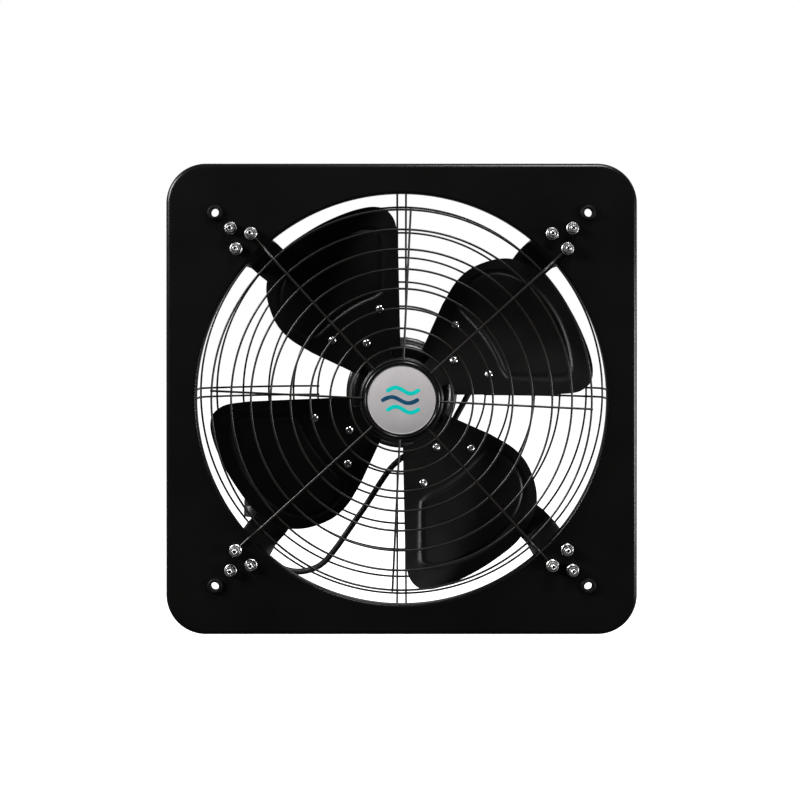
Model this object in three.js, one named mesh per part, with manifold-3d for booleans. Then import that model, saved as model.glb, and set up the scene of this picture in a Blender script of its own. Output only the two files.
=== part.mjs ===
// Square plate-mounted axial exhaust fan: four-blade rotor, motor on four bracket arms, wire guards front and rear.
// Millimetres, +Z up. The fan axis lies along Y, the front faces -Y, and Y = 0 is the wall that the plate's rim rests on.
// Inside the turned group below, x is right, y is up and z points to the viewer, so a depth behind the plate's front is -z.
import * as THREE from "three";
import { mergeVertices } from "three/addons/utils/BufferGeometryUtils.js";
import Module from "manifold-3d";

const wasm = await Module();
wasm.setup();

// ---- Driving dimensions ----
const clearance = 0.3; // between any two separate pieces
const openingRadius = 206;
const plate = {
  margin: 30.5, // from the opening's edge to the plate's side
  cornerRadius: 40,
  thickness: 1.5,
  rimDepth: 14,
  edgeBend: 5.5,
  lipDepth: 8,
  lipBend: 2.5,
  steps: 64, // points round the outline
};
const corner = {
  innerBoltOut: 17.5, // from the opening's edge, along the diagonal
  innerBoltSide: 10.7,
  outerBoltOut: 35.8,
  mountHoleOut: 57.75,
};
const grommet = { bore: 4.1, neck: 6, base: 7.8, top: 6.9, height: 3.4, backFlange: 8.6, backDepth: 1.6 };
const bolt = { shank: 3, hex: 5.6, flange: 6.25, flangeThick: 1.2, nutHeight: 5.6, tail: 2, headHeight: 4 };
const frontGuard = {
  wire: 1.1, // radius
  weldSink: 0.6,
  standOff: 6.5, // ring centres in front of the plate
  innerGap: 11.7, // from the badge ring to the next one
  pitch: 19.66,
  outerInset: 17, // the outer ring's place inside the opening's edge
  spokeAngle: 42.25,
  eyeRadius: 4.4,
};
const badge = { radius: 35.3, bezelWall: 3, backLip: 3.7, back: 1.9, faceHeight: 8.4, wall: 1.6 };
const rearGuard = {
  wire: 1.1,
  outerOut: 12, // the outer ring's place outside the opening's edge
  outerBehind: 4, // behind the arms
  nextInset: 16,
  innerRadius: 94,
  innerBehind: 37,
  pitch: 27,
  pairGap: 9.5,
  socketHeight: 6,
  socketBore: 1.5,
};
const arm = {
  thickness: 2,
  width: 38,
  innerWidth: 30,
  flange: 4,
  wallOut: 3, // from the opening's edge to the wall's inner face
  backDepth: 76,
  bend: 10,
  footBend: 4,
  footLength: 37,
  innerEnd: 63,
  holeRadius: 3.3,
};
const motor = {
  radius: 60,
  shoulderRadius: 54,
  frontAhead: 16, // ahead of the arms' back
  coreAhead: 4,
  coreLength: 38,
  coreRadius: 52,
  coreBore: 34,
  splitBehind: 10,
  rearBehind: 54,
  earOut: 20,
  earThick: 5,
  earWidth: 24,
};
const shaft = { radius: 6, frontDepth: 24, rearInset: 4 };
const bearing = { outer: 13, width: 9, frontInset: 2.5, rearInset: 12.2 };
const rotor = { coreRadius: 31.5, hubRadius: 17, hubFront: 32, hubRear: 59, nutHeight: 6, restAngle: 33.2 };
const blade = {
  count: 4,
  rootRadius: 52,
  tipClearance: 8.5, // to the opening's edge
  thickness: 1.5,
  midDepth: 48,
  slope: 0.347,
  camber: 0.000826,
  rows: 3,
};
// Angle from the straight edge's own radial line, and how far the outline stays inside the tip circle there.
const bladeOutline = [
  [1.3, 40.5], [2.3, 17.5], [4.8, 6], [8, 1.5], [13, 0], [20, 0], [28, 0], [38, 0],
  [44, 4], [50, 10], [53.5, 17.5], [57, 28.5], [61.3, 45.5], [64, 64], [65.5, 92.5],
];
const rivet = { shank: 2.3, head: 4.3, headHeight: 2.2, tailHeight: 1.4, hole: 2.6 };
const rivetPlaces = [[93.2, 14.1], [93.2, 52.2], [65.9, 33.8]]; // radius, angle
const spider = { thickness: 3, tipRadius: 104, tipHalf: 40, neckHalf: 13 };
const box = {
  x: 88, y: 89, side: 46, depth: 18, wall: 2, lid: 2, standOff: 4.5,
  capacitor: [36, 26, 12],
  glandX: -4, glandNeck: 4.2, glandLength: 32, glandBase: 7.5, glandTip: 4.4, glandHex: 9, glandHexHeight: 6,
};
const cord = { radius: 3.25, steps: 44, sides: 8 };
// The lead's way from the gland, down past the motor, behind the plate's lower corner and back over the guard to its coil.
const cordPoints = [
  [84, 33.7, 91.5], [83.5, 23.5, 92], [78, 7.5, 92], [70.5, -7.5, 92], [62.5, -22, 92], [54, -37, 92],
  [44.5, -48.5, 92], [32.5, -57, 92.5], [18, -63.5, 93], [3, -71, 94], [-10.5, -82.5, 94], [-21, -96.5, 93],
  [-31, -112, 92], [-40.5, -126.5, 90.5], [-51, -141, 88.5], [-61, -155, 85.5], [-71.5, -169, 80],
  [-84.5, -182.5, 71.5], [-96.5, -187.5, 64.5], [-109.5, -188.5, 59.5], [-122.5, -186, 57.5], [-134, -181, 59],
  [-144, -175, 64.5], [-152, -167.5, 74], [-155, -159, 87], [-151, -149, 97.5], [-142.5, -140, 104.5],
  [-131.5, -131, 108.5], [-121, -122, 111.5], [-110.7, -111.5, 113.8],
];
const coil = {
  radius: 134.5, angle: 206.5, inner: 25.6, outer: 48, height: 14.2, away: 8.6,
  layer: 3.4, entryRadius: 43, entryAngle: 108.5, exitRadius: 44.4, exitAngle: -26.5, tail: 30,
};
const tie = { width: 9, thickness: 1.2, angles: [180, 20], slack: 0.417 };
const plug = { reliefLength: 24, bodyLength: 26, bodyRadius: 11.5, pinLength: 17, pinRadius: 2, pinGap: 13 };

// ---- Sizes that follow ----
const halfPlate = openingRadius + plate.margin;
const plateBack = plate.thickness;
const wallRadius = openingRadius + arm.wallOut;
const tipRadius = openingRadius - blade.tipClearance;
const armBack = arm.backDepth + arm.thickness;
const motorFront = armBack - motor.frontAhead;
const motorSplit = armBack + motor.splitBehind;
const motorRear = armBack + motor.rearBehind;
const motorCoreFront = armBack - motor.coreAhead;
const motorCoreRear = motorCoreFront + motor.coreLength;
const frontBearing = motorFront + bearing.frontInset;
const rearBearing = motorRear - bearing.rearInset;
const guardInnerDepth = armBack + rearGuard.innerBehind;
const guardOuterDepth = armBack + rearGuard.outerBehind;
const spokeZ = frontGuard.standOff + 2 * frontGuard.wire - frontGuard.weldSink; // the spokes lie in front of the rings
const bezelRadius = badge.radius + badge.bezelWall;
const badgeBackRadius = bezelRadius + badge.backLip;
const badgeRing = bezelRadius + clearance + frontGuard.wire;
const rearOuterRadius = openingRadius + rearGuard.outerOut;
const rearSecondRadius = rearOuterRadius - rearGuard.nextInset;

// ---- Materials ----
const finish = (color, roughness, metalness) => new THREE.MeshStandardMaterial({ color, roughness, metalness });
const blackPaint = finish(0x17181a, 0.42, 0.2);
const motorPaint = finish(0x101112, 0.5, 0.2);
const blackWire = finish(0x0d0e0f, 0.35, 0.3);
const zinc = finish(0xc4c6c8, 0.3, 0.9);
const steel = finish(0x9da0a3, 0.35, 0.9);
const castMetal = finish(0x6f7275, 0.5, 0.8);
const copper = finish(0xa5612e, 0.4, 0.9);
const blackRubber = finish(0x0f0f10, 0.75, 0);
const blackPlastic = finish(0x151516, 0.45, 0);
const badgeGrey = finish(0xaca8aa, 0.45, 0.3);

// ---- Solids ----
const radians = THREE.MathUtils.degToRad;
const polar = (radius, degrees) => [radius * Math.cos(radians(degrees)), radius * Math.sin(radians(degrees))];

function toSolid(geometry) {
  const bare = new THREE.BufferGeometry().setAttribute("position", geometry.getAttribute("position"));
  if (geometry.index) bare.setIndex(geometry.index);
  const merged = mergeVertices(bare, 1e-4);
  const triVerts = new Uint32Array(merged.index.array);
  const vertProperties = merged.attributes.position.array;
  const made = new wasm.Manifold(new wasm.Mesh({ numProp: 3, vertProperties, triVerts }));
  if (made.volume() > 0) return made;
  return new wasm.Manifold(new wasm.Mesh({ numProp: 3, vertProperties, triVerts: triVerts.reverse() }));
}

function toGeometry(solid) {
  const mesh = solid.getMesh();
  return new THREE.BufferGeometry()
    .setAttribute("position", new THREE.BufferAttribute(new Float32Array(mesh.vertProperties), 3))
    .setIndex(new THREE.BufferAttribute(new Uint32Array(mesh.triVerts), 1));
}

const join = (first, ...others) => others.reduce((whole, other) => whole.add(other), first);
const cut = (first, ...tools) => tools.reduce((whole, tool) => whole.subtract(tool), first);

// A turned solid about z from [radius, z] points. The profile starts and ends on the axis, or closes on itself.
function turned(profile, segments) {
  const points = profile.map(([radius, z]) => new THREE.Vector2(radius, z));
  return toSolid(new THREE.LatheGeometry(points, segments).rotateX(Math.PI / 2));
}

const closedRing = (profile) => [...profile, profile[0]];

function disc(radius, low, high, segments) {
  return turned([[0, low], [radius, low], [radius, high], [0, high]], segments);
}

const shapeOf = (points) => new THREE.Shape(points.map(([x, y]) => new THREE.Vector2(x, y)));

// An outline in x and y, from z = low to z = high.
function extruded(points, low, high) {
  const settings = { depth: high - low, bevelEnabled: false };
  return toSolid(new THREE.ExtrudeGeometry(shapeOf(points), settings).translate(0, 0, low));
}

// A closed skin over loops of equally many points. "ring" closes the last loop on the first, "capped" closes the ends in strips.
function lofted(loops, ends) {
  const count = loops[0].length;
  const position = loops.flat(2);
  const index = [];
  const bands = ends === "ring" ? loops.length : loops.length - 1;
  for (let i = 0; i < bands; i++) {
    const here = i * count;
    const next = ((i + 1) % loops.length) * count;
    for (let j = 0; j < count; j++) {
      const k = (j + 1) % count;
      index.push(here + j, here + k, next + k, here + j, next + k, next + j);
    }
  }
  if (ends === "capped")
    for (let j = 0; j < count / 2 - 1; j++) {
      const last = (loops.length - 1) * count;
      const [a, b, c, d] = [j, j + 1, count - 2 - j, count - 1 - j];
      index.push(b, a, d, b, d, c, last + a, last + b, last + d, last + b, last + c, last + d);
    }
  const geometry = new THREE.BufferGeometry()
    .setAttribute("position", new THREE.Float32BufferAttribute(position, 3))
    .setIndex(index);
  return toSolid(geometry);
}

// A wire or cord: a regular section swept along a curve.
function swept(curve, radius, sides, steps) {
  const section = Array.from({ length: sides }, (_, i) => polar(radius, (360 * i) / sides));
  return toSolid(new THREE.ExtrudeGeometry(shapeOf(section), { extrudePath: curve, steps, bevelEnabled: false }));
}

const point = (x, y, z) => new THREE.Vector3(x, y, z);
const line = (...points) => {
  const path = new THREE.CurvePath();
  for (let i = 1; i < points.length; i++) path.add(new THREE.LineCurve3(points[i - 1], points[i]));
  return path;
};
const straightWire = (from, to, radius) => swept(new THREE.LineCurve3(from, to), radius, 4, 1);

// Small rings need finer steps to clear what they go round.
const wireRing = (radius, z, wire, steps = Math.max(20, Math.round(radius / 6.2))) => {
  return toSolid(new THREE.TorusGeometry(radius, wire, 4, steps).translate(0, 0, z));
};

const moved = (solid, x, y, z) => solid.translate([x, y, z]);
const spun = (solid, degrees) => solid.rotate([0, 0, degrees]);

// ---- Assembly ----
const fan = new THREE.Group();
fan.rotation.x = Math.PI / 2;
fan.position.y = -plate.rimDepth;

function piece(name, solid, material) {
  const mesh = new THREE.Mesh(toGeometry(solid), material);
  mesh.name = name;
  fan.add(mesh);
  return mesh;
}

// ---- Plate ----
const innerBoltOut = openingRadius + corner.innerBoltOut;
const boltPlaces = [
  [innerBoltOut, corner.innerBoltSide],
  [innerBoltOut, -corner.innerBoltSide],
  [openingRadius + corner.outerBoltOut, 0],
];
const mountHoleOut = openingRadius + corner.mountHoleOut;

const cornerSteps = Math.round(plate.steps * 0.1); // loop steps spent on each rounded corner

// One point of the rounded square, inset from its side: equal steps round each corner and along each side.
function outlinePoint(step, inset) {
  const quarter = plate.steps / 4;
  const side = Math.floor(step / quarter);
  const along = step % quarter;
  const radius = Math.max(plate.cornerRadius - inset, 1);
  const centre = halfPlate - inset - radius;
  const turn = side * 90;
  if (along <= cornerSteps) {
    const [x, y] = polar(radius, (90 * along) / cornerSteps);
    return turnPoint([centre + x, centre + y], turn);
  }
  const share = (along - cornerSteps) / (quarter - cornerSteps);
  return turnPoint([centre * (1 - 2 * share), halfPlate - inset], turn);
}

function turnPoint([x, y], degrees) {
  const angle = radians(degrees);
  return [x * Math.cos(angle) - y * Math.sin(angle), x * Math.sin(angle) + y * Math.cos(angle)];
}

// A loop round the plate, blended from its outline to the opening's circle at the same steps.
function plateLoop(radiusOrInset, z, round) {
  const lead = (180 * cornerSteps) / plate.steps; // the corner arc's middle lies on the diagonal
  return Array.from({ length: plate.steps }, (_, step) => {
    if (!round) return [...outlinePoint(step, radiusOrInset), z];
    return [...polar(radiusOrInset, 45 - lead + (360 * step) / plate.steps), z];
  });
}

function bendPoints(inset, radius, count) {
  return Array.from({ length: count + 1 }, (_, i) => {
    const angle = radians((90 * i) / count);
    return [inset + radius * (1 - Math.sin(angle)), -radius * (1 - Math.cos(angle))];
  });
}

function framePlate() {
  const t = plate.thickness;
  const outerBend = bendPoints(0, plate.edgeBend, 2);
  const innerBend = bendPoints(t, plate.edgeBend - t, 1).map(([inset, z]) => [inset, z - t]);
  const lipBend = bendPoints(0, plate.lipBend, 1);
  const loops = [
    plateLoop(0, -plate.rimDepth, false),
    ...[...outerBend].reverse().map(([inset, z]) => plateLoop(inset, z, false)),
    ...lipBend.map(([out, z]) => plateLoop(openingRadius + out, z, true)),
    plateLoop(openingRadius, -plate.lipDepth, true),
    plateLoop(openingRadius + t, -plate.lipDepth, true),
    plateLoop(openingRadius + t, -t - 1, true),
    plateLoop(openingRadius + t + 1, -t, true),
    ...innerBend.map(([inset, z]) => plateLoop(inset, z, false)),
    plateLoop(t, -plate.rimDepth, false),
  ];
  const holes = [];
  const sockets = [];
  const socketHoles = [];
  for (let k = 0; k < 4; k++) {
    const turn = 45 + 90 * k;
    for (const [out, side] of boltPlaces)
      holes.push(spun(moved(disc(bolt.shank + clearance, -4, 2, 8), out, side, 0), turn));
    holes.push(spun(moved(disc(grommet.neck + clearance, -4, 2, 12), mountHoleOut, 0, 0), turn));
    const low = rearOuterRadius - 5;
    const half = rearGuard.pairGap / 2 + 5;
    const back = -plateBack - rearGuard.socketHeight;
    const outline = [[low, -half], [low + 10, -half], [low + 10, half], [low, half]];
    sockets.push(spun(extruded(outline, back, -plateBack + 0.5), 90 * k));
    for (const side of [-1, 1]) {
      const bore = disc(rearGuard.socketBore, back - 1, -plateBack - 1.2, 8);
      socketHoles.push(spun(moved(bore, rearOuterRadius, (side * rearGuard.pairGap) / 2, 0), 90 * k));
    }
  }
  return cut(join(lofted(loops, "ring"), ...sockets), ...holes, ...socketHoles);
}

piece("frame_plate", framePlate(), blackPaint);

function grommetSolid() {
  const { bore, neck, base, top, height, backFlange, backDepth } = grommet;
  const face = clearance;
  const back = -plateBack - clearance;
  return turned(closedRing([
    [bore, back - backDepth], [backFlange, back - backDepth], [backFlange, back],
    [neck, back], [neck, face], [base, face], [top, height], [bore, height],
  ]), 12);
}
for (let k = 0; k < 4; k++)
  piece(`mount_grommet_${k + 1}`, spun(moved(grommetSolid(), mountHoleOut, 0, 0), 45 + 90 * k), blackRubber);

// ---- Motor arms ----
const footDepth = plateBack + clearance;

// The arm's side between two offsets from its inner face, in u (outwards) and depth, from the wall round to its inner end.
function armSide(from, to, end) {
  const arc = (centreU, centreD, radius, start, end, steps) =>
    Array.from({ length: steps + 1 }, (_, i) => {
      const angle = radians(start + ((end - start) * i) / steps);
      return [centreU + radius * Math.cos(angle), centreD + radius * Math.sin(angle)];
    });
  const bendU = wallRadius - arm.bend;
  const bendD = arm.backDepth - arm.bend;
  return [
    ...arc(bendU, bendD, arm.bend + from, 0, 90, 4), [end, arm.backDepth + from],
    [end, arm.backDepth + to], ...arc(bendU, bendD, arm.bend + to, 90, 0, 4),
  ];
}

// Side outline to a slab across the arm: u stays x, and depth becomes -z.
function acrossArm(points, halfWidth) {
  const settings = { depth: 2 * halfWidth, bevelEnabled: false };
  const geometry = new THREE.ExtrudeGeometry(shapeOf(points), settings).translate(0, 0, -halfWidth);
  return toSolid(geometry.rotateX(-Math.PI / 2)); // outline's y turns to -z, and its depth to y
}

function motorArm() {
  const t = arm.thickness;
  const half = arm.width / 2;
  const foot = wallRadius + t + arm.footBend + arm.footLength;
  const footTop = footDepth + t;
  const flangeTop = footTop + arm.footBend + 4;
  const channelTop = t + arm.flange;
  const sheet = [
    [wallRadius, footDepth + 1.5], ...armSide(0, t, arm.innerEnd), [wallRadius + t, footTop + 1.5],
    [wallRadius + t + 1.5, footTop], [foot, footTop], [foot, footDepth], [wallRadius + 1.5, footDepth],
  ];
  const ridge = [[wallRadius, flangeTop], ...armSide(0, channelTop, arm.innerEnd), [wallRadius + channelTop, flangeTop]];
  const hollow = [
    [wallRadius + t, flangeTop - 2], ...armSide(t, channelTop + 2, arm.innerEnd - 2),
    [wallRadius + channelTop + 2, flangeTop - 2],
  ];
  const narrow = arm.innerWidth / 2;
  const shoulder = wallRadius - arm.bend;
  const plan = (inset) => [
    [0, -narrow + inset], [shoulder - 30, -narrow + inset - 1], [shoulder, -half + inset], [foot + 5, -half + inset],
    [foot + 5, half - inset], [shoulder, half - inset], [shoulder - 30, narrow - inset + 1], [0, narrow - inset],
  ];
  const deep = -armBack - 20;
  const body = join(acrossArm(sheet, half), acrossArm(ridge, half)).intersect(extruded(plan(0), deep, 10));
  const dug = cut(body, acrossArm(hollow, half).intersect(extruded(plan(t), deep, 10)));
  const holes = boltPlaces.map(([out, side]) =>
    moved(disc(arm.holeRadius, -footTop - 1, -footDepth + 1, 8), out, side, 0));
  return cut(dug, ...holes);
}
for (let k = 0; k < 4; k++) piece(`motor_arm_${k + 1}`, spun(motorArm(), 45 + 90 * k), blackPaint);

// ---- Frame bolts, each with its flange nut ----
function frameBolt(seat) {
  const under = -footDepth - arm.thickness - clearance;
  const { shank, hex, flange, flangeThick, nutHeight, tail, headHeight } = bolt;
  const nutTop = seat + nutHeight;
  const core = turned([
    [0, under - headHeight], [shank, under - headHeight], [shank, seat], [flange, seat], [flange, seat + flangeThick],
    [shank, seat + flangeThick], [shank, nutTop + tail], [0, nutTop + tail],
  ], 8);
  return join(core, disc(hex, under - headHeight, under, 6), disc(hex, seat + 0.6, nutTop, 6));
}
// The spokes that run on to the plate are held under the first inner nut of each corner.
const eyeSeat = 2 * frontGuard.wire + 2 * clearance;
for (let k = 0; k < 4; k++)
  boltPlaces.forEach(([out, side], i) => {
    const holdsEye = i === 1;
    const solid = moved(frameBolt(holdsEye ? eyeSeat : clearance), out, side, 0);
    piece(`frame_bolt_${3 * k + i + 1}`, spun(solid, 45 + 90 * k), zinc);
  });

// ---- Front guard ----
function frontRingRadii() {
  const outer = openingRadius - frontGuard.outerInset;
  const first = badgeRing + frontGuard.innerGap;
  const count = Math.round((outer - first) / frontGuard.pitch);
  const step = (outer - first) / count;
  return [badgeRing, ...Array.from({ length: count + 1 }, (_, i) => first + i * step)];
}

function frontGuardSolid() {
  const { wire, standOff } = frontGuard;
  const radii = frontRingRadii();
  const outer = radii[radii.length - 1];
  const rings = radii.map((radius, i) => (i === 0 ? wireRing(radius, standOff, wire, 32) : wireRing(radius, standOff, wire)));
  const spokes = [];
  const start = badgeRing - 0.6;
  const eyeAngle = 45 - THREE.MathUtils.radToDeg(Math.atan2(corner.innerBoltSide, innerBoltOut));
  const eyeOut = Math.hypot(innerBoltOut, corner.innerBoltSide);
  for (let k = 0; k < 4; k++) {
    const seatZ = wire + clearance;
    const down = line(
      point(start, 0, spokeZ), point(outer + 3, 0, spokeZ),
      point(outer + 14, 0, seatZ), point(eyeOut - frontGuard.eyeRadius, 0, seatZ),
    );
    for (const part of down.curves) spokes.push(spun(swept(part, wire, 4, 1), eyeAngle + 90 * k));
    const joints = [[outer + 3, spokeZ], [outer + 14, seatZ]];
    for (const [at, z] of joints) spokes.push(spun(moved(disc(wire, -wire, wire, 6), at, 0, z), eyeAngle + 90 * k));
    const eye = toSolid(new THREE.TorusGeometry(frontGuard.eyeRadius, wire, 4, 12));
    spokes.push(spun(moved(eye, eyeOut, 0, seatZ), eyeAngle + 90 * k));
    const short = straightWire(point(start, 0, spokeZ), point(outer + 1, 0, spokeZ), wire);
    spokes.push(spun(short, frontGuard.spokeAngle + 45 + 90 * k));
  }
  return join(...rings, ...spokes);
}
piece("front_guard", frontGuardSolid(), blackWire);

// ---- Badge ----
const badgeFloor = badge.back + badge.wall;
piece("badge_bezel", turned([
  [0, badge.back], [badgeBackRadius, badge.back], [badgeBackRadius, frontGuard.standOff - frontGuard.wire - clearance],
  [bezelRadius, frontGuard.standOff - frontGuard.wire - clearance], [bezelRadius, badge.faceHeight - 0.4],
  [bezelRadius - 1.5, badge.faceHeight + 0.5], [badge.radius + clearance, badge.faceHeight + 0.5],
  [badge.radius + clearance, badgeFloor], [0, badgeFloor],
], 28), blackPlastic);
piece("badge_disc", turned([
  [0, badgeFloor + clearance], [badge.radius, badgeFloor + clearance], [badge.radius, badge.faceHeight - 0.6],
  [badge.radius - 0.8, badge.faceHeight], [0, badge.faceHeight],
], 28), badgeGrey);

// ---- Rear guard ----
const rearDish = (radius) => {
  const share = (radius - rearGuard.innerRadius) / (rearOuterRadius - rearGuard.innerRadius);
  return guardInnerDepth - (guardInnerDepth - guardOuterDepth) * share * share;
};

function rearRingRadii() {
  const count = Math.round((rearSecondRadius - rearGuard.innerRadius) / rearGuard.pitch);
  const step = (rearSecondRadius - rearGuard.innerRadius) / count;
  return [...Array.from({ length: count + 1 }, (_, i) => rearGuard.innerRadius + i * step), rearOuterRadius];
}

function rearGuardSolid() {
  const { wire, pairGap } = rearGuard;
  const weld = 2 * wire - 0.6;
  const rings = rearRingRadii().map((radius) => wireRing(radius, -rearDish(radius), wire));
  const wires = [];
  // Each leg lies inside the rings, bends forward over the outer ring's radius and ends in a socket on the plate.
  const radii = [...rearRingRadii()];
  const end = -(plateBack + 1.2 + clearance);
  const legPoints = [point(radii[0] - 2, 0, -rearDish(radii[0]) + weld)];
  for (const radius of radii.slice(1, -1)) legPoints.push(point(radius, 0, -rearDish(radius) + weld));
  legPoints.push(point(rearOuterRadius - 0.7 * weld, 0, -guardOuterDepth + 0.7 * weld));
  legPoints.push(point(rearOuterRadius, 0, -guardOuterDepth + 34), point(rearOuterRadius, 0, end));
  for (let k = 0; k < 4; k++)
    for (const side of [-1, 1])
      wires.push(spun(moved(polyWire(legPoints, wire), 0, (side * pairGap) / 2, 0), 90 * k));
  return join(...rings, ...wires);
}

// A wire through points with mitred bends: square sections set in the plane that halves each bend.
function polyWire(points, wire) {
  const loops = points.map((p, i) => {
    const into = points[i].clone().sub(points[Math.max(i - 1, 0)]);
    const out = points[Math.min(i + 1, points.length - 1)].clone().sub(points[i]);
    if (i === 0) into.copy(out);
    if (i === points.length - 1) out.copy(into);
    const along = into.normalize().add(out.normalize()).normalize();
    const across = new THREE.Vector3(0, 1, 0);
    const up = new THREE.Vector3().crossVectors(along, across).normalize();
    return [[1, 0], [0, 1], [-1, 0], [0, -1]].map(([a, b]) =>
      p.clone().addScaledVector(across, a * wire).addScaledVector(up, b * wire).toArray());
  });
  return lofted(loops, "capped");
}
piece("rear_guard", rearGuardSolid(), blackWire);

// ---- Motor ----
const flipDepth = (profile) => profile.map(([radius, depth]) => [radius, -depth]);

function frontBell() {
  const { radius, shoulderRadius, coreRadius } = motor;
  const [frontDepth, coreDepth, splitDepth] = [motorFront, motorCoreFront, motorSplit];
  const seat = frontBearing - clearance;
  const body = turned(flipDepth(closedRing([
    [shaft.radius + 3, frontDepth], [22, frontDepth], [26, frontDepth + 4], [48, frontDepth + 5.5],
    [shoulderRadius, frontDepth + 8], [shoulderRadius + 2, frontDepth + 14], [radius, frontDepth + 17],
    [radius, splitDepth], [coreRadius + clearance, splitDepth], [coreRadius + clearance, coreDepth - clearance],
    [50, coreDepth - clearance], [49, frontDepth + 8.5], [17, frontDepth + 8.5], [17, seat + bearing.width],
    [bearing.outer + clearance, seat + bearing.width], [bearing.outer + clearance, seat],
    [shaft.radius + 3, seat],
  ])), 28);
  const ears = [];
  const half = motor.earWidth / 2;
  const earRoot = coreRadius + clearance + 0.5; // inside the shell at any depth
  const earTop = -(armBack + clearance);
  for (let k = 0; k < 4; k++) {
    const outline = [
      [earRoot, -half], [radius + motor.earOut - 6, -half], [radius + motor.earOut, -half + 6],
      [radius + motor.earOut, half - 6], [radius + motor.earOut - 6, half], [earRoot, half],
    ];
    ears.push(spun(extruded(outline, earTop - motor.earThick, earTop), 45 + 90 * k));
  }
  return join(body, ...ears);
}

function rearBell() {
  const { radius, coreRadius } = motor;
  const [splitDepth, rearDepth] = [motorSplit, motorRear];
  const seat = rearBearing - clearance;
  const end = seat + bearing.width + 2 * clearance;
  return turned(flipDepth([
    [0, rearDepth], [20, rearDepth], [42, rearDepth - 2.5], [55, rearDepth - 9], [radius, rearDepth - 18],
    [radius, splitDepth + clearance], [coreRadius + clearance, splitDepth + clearance],
    [coreRadius + clearance, motorCoreRear + clearance], [50, motorCoreRear + clearance], [48, rearDepth - 12],
    [38, rearDepth - 6], [17, rearDepth - 6], [17, seat], [bearing.outer + clearance, seat],
    [bearing.outer + clearance, end], [0, end],
  ]), 28);
}
piece("motor_front_bell", frontBell(), motorPaint);
piece("motor_rear_bell", rearBell(), motorPaint);

const tube = (inner, outer, near, far, segments) =>
  turned(flipDepth(closedRing([[inner, near], [outer, near], [outer, far], [inner, far]])), segments);

piece("stator_core", tube(motor.coreBore, motor.coreRadius, motorCoreFront, motorCoreRear, 28), castMetal);

function statorWinding() {
  const thin = [rotor.coreRadius + 0.7, motor.coreBore - clearance];
  const reach = [45, motorCoreFront - clearance, motorCoreRear + clearance];
  const overhang = motorCoreFront - motorFront - 9;
  return turned(flipDepth(closedRing([
    [thin[0], reach[1] - overhang], [reach[0], reach[1] - overhang], [reach[0], reach[1]], [thin[1], reach[1]],
    [thin[1], reach[2]], [reach[0], reach[2]], [reach[0], reach[2] + overhang], [thin[0], reach[2] + overhang],
  ])), 24);
}
piece("stator_winding", statorWinding(), copper);
const bearingRing = (depth) =>
  tube(shaft.radius + clearance, bearing.outer, depth, depth + bearing.width - clearance, 16);
piece("front_bearing", bearingRing(frontBearing), steel);
piece("rear_bearing", bearingRing(rearBearing), steel);

// ---- Terminal box on the upper right arm ----
const boxFront = armBack + box.standOff;
const boxBack = boxFront + box.depth;
const square = (half) => [[-half, -half], [half, -half], [half, half], [-half, half]];

function capacitorBox() {
  const half = box.side / 2;
  const shell = cut(
    extruded(square(half), -boxBack, -boxFront),
    extruded(square(half - box.wall), -boxBack - 1, -boxFront - box.wall),
  );
  const neck = disc(box.glandNeck + clearance, -1, box.wall + 1, 12).rotate([-90, 0, 0]);
  const place = [box.glandX, -half, -(boxFront + box.depth / 2)];
  return moved(cut(shell, moved(neck, ...place)), box.x, box.y, 0);
}
piece("capacitor_box", capacitorBox(), blackPlastic);
piece("capacitor_box_lid", moved(
  extruded(square(box.side / 2), -boxBack - clearance - box.lid, -boxBack - clearance), box.x, box.y, 0), blackPlastic);

function runCapacitor() {
  const [width, height, thick] = box.capacitor;
  const low = -(boxFront + box.wall + clearance);
  const outline = [[-width / 2, -height / 2], [width / 2, -height / 2], [width / 2, height / 2], [-width / 2, height / 2]];
  return moved(extruded(outline, low - thick, low), box.x, box.y + 4, 0);
}
piece("run_capacitor", runCapacitor(), blackPlastic);

function cordGland() {
  const half = box.side / 2;
  const profile = [
    [0, box.glandLength], [box.glandTip, box.glandLength], [box.glandBase, box.glandHexHeight + 2],
    [box.glandHex, box.glandHexHeight + 1], [box.glandHex, clearance], [box.glandNeck, clearance],
    [box.glandNeck, -box.wall - 1.5], [0, -box.wall - 1.5],
  ];
  // The profile's height runs out of the box's lower wall.
  const solid = turned(profile, 12).rotate([90, 0, 0]);
  return moved(solid, box.x + box.glandX, box.y - half, -(boxFront + box.depth / 2));
}
piece("cord_gland", cordGland(), blackRubber);

// ---- Mains cord, its coil behind the rear guard, its ties and plug ----
const cordCurve = new THREE.CatmullRomCurve3(cordPoints.map(([x, y, depth]) => point(x, y, -depth)), false, "centripetal");
piece("mains_cord", swept(cordCurve, cord.radius, cord.sides, cord.steps), blackRubber);

// The coil lies against the guard's back. Its own frame: x outwards along the guard, z towards the viewer.
const coilTilt = THREE.MathUtils.radToDeg(Math.atan2(
  rearDish(coil.radius - 13.5) - rearDish(coil.radius + 13.5), 27));
const coilDepth = (rearDish(coil.radius - 13.5) + rearDish(coil.radius + 13.5)) / 2 + coil.away;
// How far the dished guard's inner ring stands in front of the coil's own plane.
const ringLift = Math.cos(THREE.MathUtils.degToRad(coilTilt)) * (coilDepth - coil.away - rearDish(rearGuard.innerRadius)
  + (coil.radius - rearGuard.innerRadius) * Math.tan(THREE.MathUtils.degToRad(coilTilt)));
const inCoilFrame = (solid) => spun(moved(solid.rotate([0, -coilTilt, 0]), coil.radius, 0, -coilDepth), coil.angle);

const coilPoint = (radius, angle, layer, onward) => {
  const [x, y] = polar(radius, angle);
  const [dx, dy] = polar(onward, angle + 90);
  return point(x + dx, y + dy, layer);
};

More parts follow.
